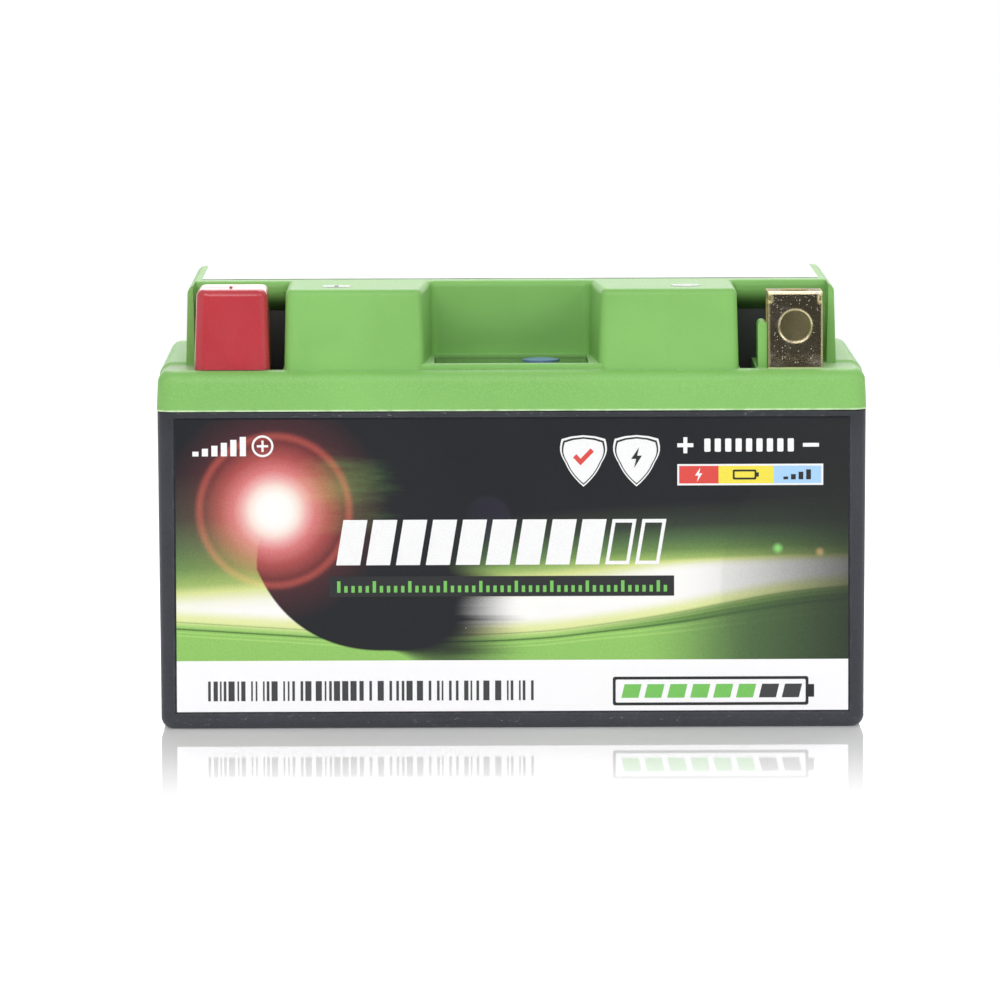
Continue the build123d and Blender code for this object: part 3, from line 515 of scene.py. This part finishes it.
def label_picture(slot):
    """A sweep of light over green on a dark ground, a warm flare at its left and a white foot strip."""
    paint = Paint(slot)
    along, _, height = paint.axes()
    picture = light_sweep(paint, along, height)
    for spot, radius, strength, colour in GHOSTS:
        away = distance_to(paint, along, height, spot)
        disc = paint.smooth(away, radius + 0.5, radius - 0.7, 0.0, strength)
        disc = paint.math("MULTIPLY", disc, paint.smooth(height, *GHOST_FADE))
        picture = paint.mix(disc, picture, tone(*colour))
    picture = dark_patch(paint, along, height, picture)
    picture = flare(paint, along, height, picture)
    for spot, radius, strength, colour in SPARKS:
        glow = paint.smooth(distance_to(paint, along, height, spot), radius, 0.1, 0.0, strength)
        picture = paint.mix(glow, picture, tone(*colour))
    # The white strip at the foot, a few dust specks, and the print's own grain.
    picture = paint.mix(paint.math("LESS_THAN", height, STRIP_TOP), picture, tone(247, 246, 248))
    dust = paint.math("MULTIPLY", paint.specks(5.5 * MM, 0.16 * MM, 0.25), 0.55)
    picture = paint.mix(dust, picture, tone(200, 205, 205))
    mottle = paint.noise(0.35 * MM, 2.0)
    picture = paint.mix(paint.smooth(mottle, 0.3, 0.7, 0.0, 0.18), picture, tone(0, 0, 0), "SOFT_LIGHT")
    waves = paint.noise(22 * MM, 2.0)
    gloss = paint.smooth(waves, 0.3, 0.7, 0.34, 0.44)
    normal = paint.bump(waves, 0.05 * MM, 0.4, paint.bump(mottle, 0.003 * MM, 0.5))
    return paint.finish(Base_Color=picture, Roughness=gloss, Normal=normal, Specular_IOR_Level=0.3)


def case_plastic(slot):
    """Black case: fine grain, scuffs along its rim and foot, dust in the grain, and painted shade under
    the lid.
    """
    paint = Paint(slot)
    colour = COLOURS[slot]
    height = paint.axes()[2]
    rim = CASE_HIGH.z / MM
    grit = paint.noise(0.4 * MM, 2.0, 0.5)
    cloud = paint.noise(20 * MM, 4.0)
    tint = paint.mix(paint.smooth(cloud, 0.3, 0.7), shade(colour, 0.88), shade(colour, 1.12))
    tint = paint.mix(paint.smooth(grit, 0.45, 0.7, 0.0, 0.3), tint, shade(colour, 1.7))
    # Scuffs near the rim and the foot, and edges rubbed pale.
    near_rim = paint.math("MULTIPLY", paint.stripe(height, rim - 0.3, 1.1), 0.8)
    near_foot = paint.math("MULTIPLY", paint.stripe(height, 1.6, 2.2), 0.35)
    streaks = paint.noise(0.9 * MM, 5.0, 0.7, paint.stretched((0.5, 0.5, 1.4)))
    marks = paint.smooth(streaks, 0.60, 0.68, 0.0, 0.9)
    marks = paint.math("MULTIPLY", paint.math("MAXIMUM", near_rim, near_foot), marks)
    tint = paint.mix(marks, tint, tone(176, 178, 180))
    patchy = paint.smooth(paint.noise(2 * MM, 4.0), 0.4, 0.7, 0.1, 0.4)
    rubbed = paint.math("MULTIPLY", paint.edges(0.8 * MM), patchy)
    tint = paint.mix(rubbed, tint, tone(112, 114, 120))
    dust = paint.math("MULTIPLY", paint.specks(3.4 * MM, 0.12 * MM, 0.3), 0.6)
    tint = paint.mix(dust, tint, tone(170, 172, 174))
    # Painted shade: the case darkens towards its rim, under the lid's overhang.
    tint = paint.mix(paint.smooth(height, rim - 7.2, rim - 0.2, 0.0, 0.45), tint, shade(colour, 0.4))
    gloss = paint.smooth(cloud, 0.3, 0.7, 0.38, 0.5)
    normal = paint.bump(grit, 0.02 * MM, 0.7, paint.rounded(0.5 * MM))
    return paint.finish(Base_Color=tint, Roughness=gloss, Normal=normal, Specular_IOR_Level=0.4)


SKIRT_TOP = 74.2  # the lid's rough skirt ends here, and its smoother decks begin 1.4 mm higher
# The lip over each bay's opening, where painted shade darkens it: middle and half width, sideways from the
# middle, in depth and in height.
LIP_SIDE = (56.8, 9.0)
LIP_DEPTH = (-10.8, 1.6)
LIP_HEIGHT = (87.5, 4.2)


def lid_plastic(slot):
    """Green lid: spark-eroded skirt under smoother decks, a pale painted highlight along its lower edge.
    """
    paint = Paint(slot)
    colour = COLOURS[slot]
    along, depth, height = paint.axes()
    skirt = paint.smooth(height, SKIRT_TOP + 1.4, SKIRT_TOP)
    grit = paint.noise(0.26 * MM, 2.0, 0.5)
    lumps = paint.noise(1.5 * MM, 3.0, 0.5)
    cloud = paint.noise(26 * MM, 4.0)
    tint = paint.mix(paint.smooth(cloud, 0.3, 0.7), shade(colour, 0.94), shade(colour, 1.05))
    coarse = paint.smooth(skirt, 0.0, 1.0, 0.06, 0.22)
    peak = paint.math("MULTIPLY", paint.smooth(grit, 0.46, 0.66), coarse)
    tint = paint.mix(peak, tint, [0.12 + 1.2 * channel for channel in colour])
    # Painted highlight: a pale, ragged line along the lid's lower edge, where its rounded edge catches the
    # light.
    lower_edge_highlight = paint.stripe(height, BEAD_HIGH.z / MM + 0.12, 0.4)
    ragged = paint.smooth(paint.noise(2.2 * MM, 4.0), 0.25, 0.6, 0.3, 0.95)
    tint = paint.mix(paint.math("MULTIPLY", lower_edge_highlight, ragged), tint, tone(214, 238, 196))
    patchy = paint.smooth(paint.noise(1.8 * MM, 4.0, 0.65), 0.48, 0.66, 0.0, 0.22)
    rubbed = paint.math("MULTIPLY", paint.edges(0.5 * MM), patchy)
    tint = paint.mix(rubbed, tint, tone(214, 240, 196))
    dust = paint.math("MULTIPLY", paint.specks(4.5 * MM, 0.13 * MM, 0.12), 0.6)
    tint = paint.mix(dust, tint, tone(236, 226, 190))
    # Painted sheen: the level faces are speckled paler, as grazing light shows them.
    settled = paint.smooth(paint.noise(0.5 * MM, 3.0, 0.6), 0.4, 0.65, 0.06, 0.36)
    settled = paint.math("MULTIPLY", settled, paint.smooth(paint.upward(), 0.86, 0.99))
    tint = paint.mix(settled, tint, tone(222, 230, 212))
    # Painted shade: the rounded lip over each bay's opening is painted dark as it curves in.
    sideways = paint.stripe(paint.math("ABSOLUTE", along), *LIP_SIDE)
    lip_shade = paint.math("MULTIPLY", sideways, paint.stripe(depth, *LIP_DEPTH))
    lip_shade = paint.math("GREATER_THAN", lip_shade, 0.0)
    lip_shade = paint.math("MULTIPLY", lip_shade, paint.stripe(height, *LIP_HEIGHT))
    tint = paint.mix(paint.math("MULTIPLY", lip_shade, 0.93), tint, shade(colour, 0.08))
    gloss = paint.smooth(skirt, 0.0, 1.0, 0.44, 0.46)
    gloss = paint.math("ADD", gloss, paint.smooth(cloud, 0.3, 0.7, 0.0, 0.06))
    normal = paint.bump(lumps, 0.03 * MM, 0.25, paint.rounded(0.3 * MM))
    normal = paint.bump(grit, 0.02 * MM, 0.8, normal)
    return paint.finish(Base_Color=tint, Roughness=gloss, Normal=normal)


MATERIALS = {
    "case_black": case_plastic("case_black"),
    "lid_green": lid_plastic("lid_green"),
    "cap_red": moulded(
        "cap_red", 0.16, 0.6 * MM, 0.012 * MM, wear=0.15, dust=0.04, dusty=tone(250, 190, 190),
    ),
    "carrier_black": moulded("carrier_black", 0.5),
    "button_blue": moulded("button_blue", 0.4, wear=0.3),
    "switch_grey": moulded("switch_grey", 0.42),
    "connector_white": moulded("connector_white", 0.4),
    "nylon_white": moulded("nylon_white", 0.5),
    "wire_jacket": moulded("wire_jacket", 0.4, 0.25 * MM),
    "insulator_amber": moulded("insulator_amber", 0.35, 1.2 * MM),
    "component_black": moulded("component_black", 0.5, 0.2 * MM, wear=0.3),
    "seal_black": rubbery("seal_black", 0.55),
    "gasket_rubber": rubbery("gasket_rubber", 0.6),
    "sleeve_black": rubbery("sleeve_black", 0.45),
    "front_label_print": label_picture("front_label_print"),
    "label_white": film("label_white", 0.34, 0.2),
    "mark_white": film("mark_white", 0.45, 0.0),
    "fascia_black": film("fascia_black", 0.25, 0.4),
    "terminal_brass": plated_terminal("terminal_brass"),
    "copper": metal("copper", 0.24, (0.06, 1.0, 1.0), tone(110, 60, 44), 0.45),
    "steel": metal("steel", 0.3, (1.0, 0.15, 1.0)),
    "cell_can": metal("cell_can", 0.32, (1.0, 1.0, 0.05)),
    "capacitor_can": metal("capacitor_can", 0.28, (1.0, 1.0, 0.1)),
    "window_smoke": glassy("window_smoke", 0.05, 0.5),
    "light_lens": glassy("light_lens", 0.12, 0.8),
    "circuit_board": circuit_board("circuit_board"),
    "foam_grey": foam("foam_grey"),
    "band_tape": tape("band_tape"),
}


def dress_parts():
    """Give every part the material of its slot in the record."""
    for row in frame["record"]["subparts"]:
        part = frame["nodes"][row["node"]]
        material = MATERIALS[row["material_slot"]]
        if not part.material_slots:
            part.data.materials.append(material)
        for slot in part.material_slots:
            slot.material = material


# ---- printed graphics ---------------------------------------------------------------------------
INK_STEP = 0.03 * MM  # each layer of ink stands this much above the one below


def box_loop(x0, z0, x1, z1, corner=0.0):
    """A rectangle, its corners rounded by arcs of five points each."""
    if not corner:
        return [(x0, z0), (x1, z0), (x1, z1), (x0, z1)]
    right, left, high, low = x1 - corner, x0 + corner, z1 - corner, z0 + corner
    loop = []
    for number, (x, z) in enumerate([(right, low), (right, high), (left, high), (left, low)]):
        for step in range(5):
            angle = (number - 1) * pi / 2 + step * pi / 8
            loop.append((x + corner * cos(angle), z + corner * sin(angle)))
    return loop


def disc_loop(x, z, radius, count=32):
    """A circle drawn with a count of points."""
    angles = [2 * pi * n / count for n in range(count)]
    return [(x + radius * cos(angle), z + radius * sin(angle)) for angle in angles]


def slanted(x0, z0, x1, z1, lean):
    """A rectangle whose upper edge is moved sideways by its lean."""
    return [(x0, z0), (x1, z0), (x1 + lean, z1), (x0 + lean, z1)]


def plus_loop(x, z, reach, half):
    """A plus sign, from its arms' reach and half width."""
    r, h = reach, half
    corners = [
        (-h, -r), (h, -r), (h, -h), (r, -h), (r, h), (h, h),
        (h, r), (-h, r), (-h, h), (-r, h), (-r, -h), (-h, -h),
    ]
    return [(x + dx, z + dz) for dx, dz in corners]


def bolt_loop(x, z, size):
    """A plain lightning bolt, size tall."""
    corners = [(0.12, 0.5), (-0.26, -0.06), (-0.02, -0.06), (-0.12, -0.5), (0.26, 0.1), (0.03, 0.1)]
    return [(x + dx * size, z + dz * size) for dx, dz in corners]


def tick_loop(x, z, size):
    """A check mark."""
    corners = [(-0.5, 0.02), (-0.34, 0.18), (-0.14, -0.04), (0.34, 0.46), (0.5, 0.3), (-0.14, -0.36)]
    return [(x + dx * size, z + dz * size) for dx, dz in corners]


def shield_loop(x, top, half, depth):
    """A shield with a lightly bowed top and sides that curve to a point."""
    steps, shoulder, crown = 12, 0.8, 0.25
    right = [(half * 0.55, top - crown)]
    for step in range(steps):
        fall = step / steps
        width = half * (1 - fall ** 2.6) * (1 + 0.10 * sin(pi * min(fall * 2, 1)))
        right.append((width, top - shoulder - fall * (depth - shoulder)))
    left = [(-dx, z) for dx, z in right]
    outline = [(0.0, top - depth)] + right[::-1] + [(0.0, top)] + left
    return [(x + dx, z) for dx, z in outline]


class Print:
    """Flat printed shapes of one colour, built as thin closed plates on a label's face."""

    def __init__(self, spot):
        self.mesh = bmesh.new()
        self.spot = spot

    def corner_ring(self, loop, depth):
        return [self.mesh.verts.new(self.spot(x * MM, z * MM, depth)) for x, z in loop]

    def walls(self, low, high):
        for n in range(len(low)):
            following = (n + 1) % len(low)
            self.mesh.faces.new((low[n], low[following], high[following], high[n]))

    def plate(self, loop, layer=1):
        low = self.corner_ring(loop, 0.0)
        high = self.corner_ring(loop, layer * INK_STEP)
        self.mesh.faces.new(high)
        self.mesh.faces.new(low[::-1])
        self.walls(low, high)

    def outline(self, outer, inner, layer=1):
        """A plate with a hole; both loops have as many points as each other."""
        outer_low, inner_low = (self.corner_ring(loop, 0.0) for loop in (outer, inner))
        outer_high, inner_high = (self.corner_ring(loop, layer * INK_STEP) for loop in (outer, inner))
        self.walls(outer_low, outer_high)
        self.walls(inner_high, inner_low)
        self.walls(inner_low, outer_low)
        self.walls(outer_high, inner_high)

    def box_line(self, x0, z0, x1, z1, line, corners, layer=1):
        """A rectangle drawn as a line of some width, with its outer and inner corner radius."""
        outer = box_loop(x0, z0, x1, z1, corners[0])
        inner = box_loop(x0 + line, z0 + line, x1 - line, z1 - line, corners[1])
        self.outline(outer, inner, layer)

    def make(self, name, material, slot):
        """The finished piece, riding on the battery's fixed body."""
        bmesh.ops.recalc_face_normals(self.mesh, faces=self.mesh.faces)
        bmesh.ops.triangulate(self.mesh, faces=[face for face in self.mesh.faces if len(face.verts) > 4])
        data = bpy.data.meshes.new(name)
        self.mesh.to_mesh(data)
        self.mesh.free()
        data.materials.append(material)
        piece = bpy.data.objects.new(name, data)
        bpy.context.scene.collection.objects.link(piece)
        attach(piece, "root")


def on_front(x, z, depth):
    return Vector((x, LABEL_LOW.y - depth, z))


def on_top(x, y, depth):
    return Vector((x, y, TOP_HIGH.z + depth))


INKS = {
    "white": (tone(244, 244, 245), "label_white"),
    "black": (tone(30, 32, 34), "fascia_black"),
    "grey": (tone(60, 61, 64), "fascia_black"),
    "pale": (tone(224, 226, 226), "label_white"),
    "green": (tone(118, 196, 92), "lid_green"),
    "red": (tone(222, 74, 66), "cap_red"),
    "yellow": (tone(242, 226, 74), "front_label_print"),
    "blue": (tone(168, 210, 246), "button_blue"),
}


# The front label's pictograms: x from the label's middle and z from the base, in millimetres.
def charge_gauge(sheets):
    """A row of leaning blocks, like the bars of a charge gauge; the last two are hollow."""
    x0, x1, z0, z1 = -37.2, 32.6, 34.8, 44.4
    count, hollow, lean, gap, rim = 11, 2, 1.6, 1.25, 0.75
    width = (x1 - x0 - lean - gap * (count - 1)) / count
    for n in range(count):
        left = x0 + n * (width + gap)
        outer = slanted(left, z0, left + width, z1, lean)
        if n < count - hollow:
            sheets["white"].plate(outer)
        else:
            inner = slanted(left + rim, z0 + rim, left + width - rim, z1 - rim, lean * 0.84)
            sheets["white"].outline(outer, [(x + 0.08 * lean, z) for x, z in inner])


def scale_bar(sheets):
    """A dark bar with a green scale, every fifth mark tall."""
    first, foot, pitch, mark, tall, short = -37.0, 29.0, 1.5, 0.7, 2.4, 1.4
    sheets["black"].plate(box_loop(-38.7, 28.1, 34.2, 32.4))
    for n in range(47):
        left = first + n * pitch
        reach = tall if n % 5 == 0 else short
        sheets["green"].plate(box_loop(left, foot, left + mark, foot + reach), 2)


def corner_sign(sheets):
    """Rising bars and a round plus sign, top left."""
    first, foot, pitch, bar, rise = -67.4, 58.0, 2.0, 1.3, 0.62
    for n in range(6):
        left = first + n * pitch
        sheets["white"].plate(box_loop(left, foot, left + bar, foot + 1.0 + rise * n))
    x, z, radius, line = -52.6, 60.1, 2.3, 0.45
    sheets["white"].outline(disc_loop(x, z, radius), disc_loop(x, z, radius - line))
    sheets["white"].plate(plus_loop(x, z, 1.2, 0.24))


def shields(sheets):
    """Two white shields with a dark line inside their edge, one with a tick and one with a bolt."""
    top, half, depth = 62.2, 4.6, 10.9
    sign_height, sign_size = 57.4, 4.4
    for x, colour, sign in ((15.1, "red", tick_loop), (26.3, "black", bolt_loop)):
        sheets["white"].plate(shield_loop(x, top, half, depth))
        outer = shield_loop(x, top - 0.4, half - 0.35, depth - 0.8)
        inner = shield_loop(x, top - 0.75, half - 0.65, depth - 1.45)
        sheets["black"].outline(outer, inner, 2)
        sheets[colour].plate(sign(x, sign_height, sign_size), 2)


def polarity_row(sheets):
    """A plus sign, nine bars and a minus sign."""
    middle, first, pitch, bar, half = 60.0, 40.6, 2.2, 1.3, 1.4
    sheets["white"].plate(plus_loop(36.6, middle, 1.7, 0.42))
    for n in range(9):
        left = first + n * pitch
        sheets["white"].plate(box_loop(left, middle - half, left + bar, middle + half, 0.25))
    sheets["white"].plate(box_loop(61.4, middle - 0.4, 64.8, middle + 0.4))


def coloured_fields(sheets):
    """Three coloured fields in a white frame, with a bolt, a small battery and rising bars on them."""
    low, high, rim = 51.5, 56.0, 0.4
    sheets["white"].plate(box_loop(34.9, low, 65.7, high))
    for x0, x1, colour in ((35.3, 43.6, "red"), (43.6, 55.2, "yellow"), (55.2, 65.3, "blue")):
        sheets[colour].plate(box_loop(x0, low + rim, x1, high - rim), 2)
    sheets["white"].plate(bolt_loop(39.4, (low + high) / 2, 3.0), 3)
    sheets["black"].box_line(46.6, 52.7, 51.6, 54.8, 0.4, (0.3, 0.15), 3)
    sheets["black"].plate(box_loop(51.6, 53.3, 52.1, 54.2), 3)
    first, foot, pitch, bar, rise = 57.3, 52.7, 1.6, 1.0, 0.5
    for n in range(4):
        left = first + n * pitch
        sheets["black"].plate(box_loop(left, foot, left + bar, foot + 0.6 + rise * n), 3)


def stripe_code(sheets):
    """Stripes of random widths on the foot strip; they encode nothing."""
    stripes = random.Random(7)
    x, end, foot, top = -64.4, 4.0, 6.0, 10.2
    while x < end:
        bar = stripes.choice((0.35, 0.55, 0.55, 0.9, 1.3))
        sheets["grey"].plate(box_loop(x, foot, x + bar, top))
        x += bar + stripes.choice((0.45, 0.6, 0.9, 1.2))


def battery_sign(sheets):
    """A battery in a dark outline on the foot strip, six of its eight leaning cells green."""
    sheets["black"].box_line(21.2, 4.8, 62.6, 10.9, 0.6, (0.5, 0.3))
    sheets["black"].plate(box_loop(62.6, 6.5, 63.8, 9.2))
    first, foot, top, pitch, cell, lean = 23.0, 6.4, 9.3, 4.85, 3.6, 0.7
    for n in range(8):
        left = first + n * pitch
        colour = "green" if n < 6 else "grey"
        sheets[colour].plate(slanted(left, foot, left + cell, top, lean))


def front_graphics():
    """Plain pictograms on the front label, one piece for each of seven inks."""
    sheets = {name: Print(on_front) for name in INKS if name != "pale"}
    for draw in (charge_gauge, scale_bar, corner_sign, shields, polarity_row, coloured_fields):
        draw(sheets)
    stripe_code(sheets)
    battery_sign(sheets)
    for name, sheet in sheets.items():
        sheet.make("front_print_" + name, inks[name], INKS[name][1])


def top_graphics():
    """Frame line, polarity signs, a battery and the key to the three lights, in one pale ink."""
    pale = Print(on_top)
    x0, y0 = TOP_LOW.x / MM, TOP_LOW.y / MM
    x1, y1 = TOP_HIGH.x / MM, TOP_HIGH.y / MM
    inset = 1.6
    pale.box_line(x0 + inset, y0 + inset, x1 - inset, y1 - inset, 0.5, (1.4, 1.0))
    pale.plate(plus_loop(x0 + 10, y0 + 9.5, 4.2, 1.1))
    pale.plate(box_loop(x1 - 14.2, y0 + 8.4, x1 - 5.8, y0 + 10.6))
    # Battery sign in the middle with five bars.
    pale.box_line(-24, 10, 20, 31, 1.2, (1.6, 0.9))
    pale.plate(box_loop(20, 16, 23.4, 25, 0.6))
    first, foot, top, pitch, bar, lean = -20.6, 13.4, 27.6, 7.6, 5.4, 1.4
    for n in range(5):
        left = first + n * pitch
        pale.plate(slanted(left, foot, left + bar, top, lean))
    # Key to the lights: a ring and a bar for each, the rings ever thinner and the bars ever longer.
    for n in range(3):
        y = 28.0 - n * 7.0
        pale.outline(disc_loop(x0 + 9.0, y, 2.0), disc_loop(x0 + 9.0, y, 1.0 + 0.4 * n))
        pale.plate(box_loop(x0 + 13.5, y - 0.6, x0 + 24.0 + 4.5 * n, y + 0.6, 0.5))
    # Lines to write on, at the right.
    for n in range(4):
        y = 12.5 + 4.8 * n
        pale.plate(box_loop(x1 - 31.0, y, x1 - 8.0, y + 0.5, 0.2))
    pale.make("top_print", inks["pale"], INKS["pale"][1])


# ---- studio -------------------------------------------------------------------------------------
FLOOR_RADIUS = 0.85
FLOOR_MIDDLE = 0.12  # behind the battery's middle


def studio_floor():
    """A round white table, varnished where the battery stands, so that it mirrors at low angles."""
    mesh = bmesh.new()
    bmesh.ops.create_circle(mesh, cap_ends=True, segments=96, radius=FLOOR_RADIUS)
    data = bpy.data.meshes.new("studio_floor")
    mesh.to_mesh(data)
    mesh.free()
    floor = bpy.data.objects.new("studio_floor", data)
    floor.location = (0.0, FLOOR_MIDDLE, low_corner.z)
    bpy.context.scene.collection.objects.link(floor)
    paint = Paint("studio_floor")
    depth = paint.axes()[1]
    front = (low_corner.y - FLOOR_MIDDLE) / MM
    # The varnish fades out in front of the battery and behind it.
    near = paint.smooth(depth, front - 190, front + 30)
    near = paint.math("MULTIPLY", near, paint.smooth(depth, 0, 220, 1.0, 0.0))
    varnish = paint.node("ShaderNodeFresnel")
    varnish.inputs["IOR"].default_value = 1.62
    sheen = paint.math("MULTIPLY", near, varnish.outputs[0])
    matt = paint.node("ShaderNodeBsdfDiffuse")
    matt.inputs["Color"].default_value = (0.90, 0.90, 0.90, 1.0)
    glow = paint.node("ShaderNodeEmission")
    glow.inputs["Strength"].default_value = 0.22
    white = paint.node("ShaderNodeAddShader")
    paint.feed(white.inputs[0], matt.outputs[0])
    paint.feed(white.inputs[1], glow.outputs[0])
    mirror = paint.node("ShaderNodeBsdfGlossy")
    mirror.inputs["Color"].default_value = (0.95, 0.93, 0.98, 1.0)
    mirror.inputs["Roughness"].default_value = 0.035
    blend = paint.node("ShaderNodeMixShader")
    paint.feed(blend.inputs[0], sheen)
    paint.feed(blend.inputs[1], white.outputs[0])
    paint.feed(blend.inputs[2], mirror.outputs[0])
    paint.tree.nodes.remove(paint.shader)
    paint.feed(paint.tree.nodes["Material Output"].inputs[0], blend.outputs[0])
    data.materials.append(paint.material)


# Brightness of the tent around the battery, of its dark part, and of the lit backdrop.
TENT_BRIGHT = 0.58
TENT_DARK = 0.06
BACKDROP = 1.2


def studio_world():
    """A white backdrop; for light and reflections, a bright tent that is dark low behind the camera."""
    world = bpy.data.worlds.new("studio")
    bpy.context.scene.world = world
    world.use_nodes = True
    sky = Tree(world.node_tree)
    direction = sky.split(sky.node("ShaderNodeTexCoord").outputs["Generated"])
    depth, height = direction[1], direction[2]
    # 1 low and straight to the front, 0 to the sides or up.
    frontal = sky.math("MULTIPLY", sky.smooth(depth, -0.45, -0.9), sky.smooth(height, 0.45, 0.1))
    tent = sky.math("MULTIPLY_ADD", frontal, TENT_DARK - TENT_BRIGHT, TENT_BRIGHT)
    # The lit backdrop behind the battery is a low bright band.
    behind = sky.smooth(depth, 0.75, 0.95, 0.0, BACKDROP)
    lit = sky.math("MULTIPLY_ADD", behind, sky.smooth(height, 0.40, 0.18), tent)
    seen = sky.node("ShaderNodeMix")
    sky.feed(seen.inputs[0], sky.node("ShaderNodeLightPath").outputs["Is Camera Ray"])
    sky.feed(seen.inputs[2], lit)
    sky.feed(seen.inputs[3], 1.0)
    background = sky.tree.nodes["Background"]
    sky.feed(background.inputs["Strength"], seen.outputs[0])
    sky.feed(background.inputs["Color"], (1.0, 1.0, 1.0))


# Soft boxes: name, place, size and power in watts.
SOFT_BOXES = [
    ("key_light", (-0.55, -0.95, 0.95), 0.7, 4.5),
    ("front_light", (0.0, -1.35, 0.72), 0.6, 3.7),
    ("fill_light", (0.8, -0.8, 0.6), 0.6, 2.3),
    ("rim_light", (0.1, 0.9, 1.1), 0.9, 7.6),
]


def soft_boxes():
    """Square lights, all turned to the battery's middle."""
    for name, place, size, power in SOFT_BOXES:
        light = bpy.data.lights.new(name, "AREA")
        light.shape = "SQUARE"
        light.size = size
        light.energy = power
        box = bpy.data.objects.new(name, light)
        box.location = place
        box.rotation_euler = (CENTRE - Vector(place)).to_track_quat("-Z", "Y").to_euler()
        bpy.context.scene.collection.objects.link(box)


# The camera stands well back and a little above the lid's height, looking slightly down.
CAMERA_PLACE = (-0.01115, -1.7314, 0.2036)
CAMERA_YAW = 0.0051  # to the right of straight ahead, radians
CAMERA_PITCH = 0.0916  # below the horizon
CAMERA_ROLL = -0.0032
CAMERA_LENS = 289.1  # focal length in millimetres, on a sensor 36 mm wide


def studio_camera():
    """A camera set up from its place and its three angles, framing the battery's front."""
    flat, drop = cos(CAMERA_PITCH), sin(CAMERA_PITCH)
    ahead = Vector((sin(CAMERA_YAW) * flat, cos(CAMERA_YAW) * flat, -drop))
    level = Vector((cos(CAMERA_YAW), -sin(CAMERA_YAW), 0.0))
    upright = level.cross(ahead)
    right = cos(CAMERA_ROLL) * level + sin(CAMERA_ROLL) * upright
    top = cos(CAMERA_ROLL) * upright - sin(CAMERA_ROLL) * level
    data = bpy.data.cameras.new("camera")
    data.lens = CAMERA_LENS
    data.sensor_width = 36.0
    data.clip_end = 50.0
    camera = bpy.data.objects.new("camera", data)
    turn = Matrix((right, top, -ahead)).transposed().to_4x4()
    camera.matrix_world = Matrix.Translation(CAMERA_PLACE) @ turn
    bpy.context.scene.collection.objects.link(camera)
    bpy.context.scene.camera = camera
    bpy.context.scene.view_settings.view_transform = "Standard"


inks = {name: ink("ink_" + name, colour) for name, (colour, slot) in INKS.items()}
studio_camera()
dress_parts()
front_graphics()
top_graphics()
studio_floor()
studio_world()
soft_boxes()
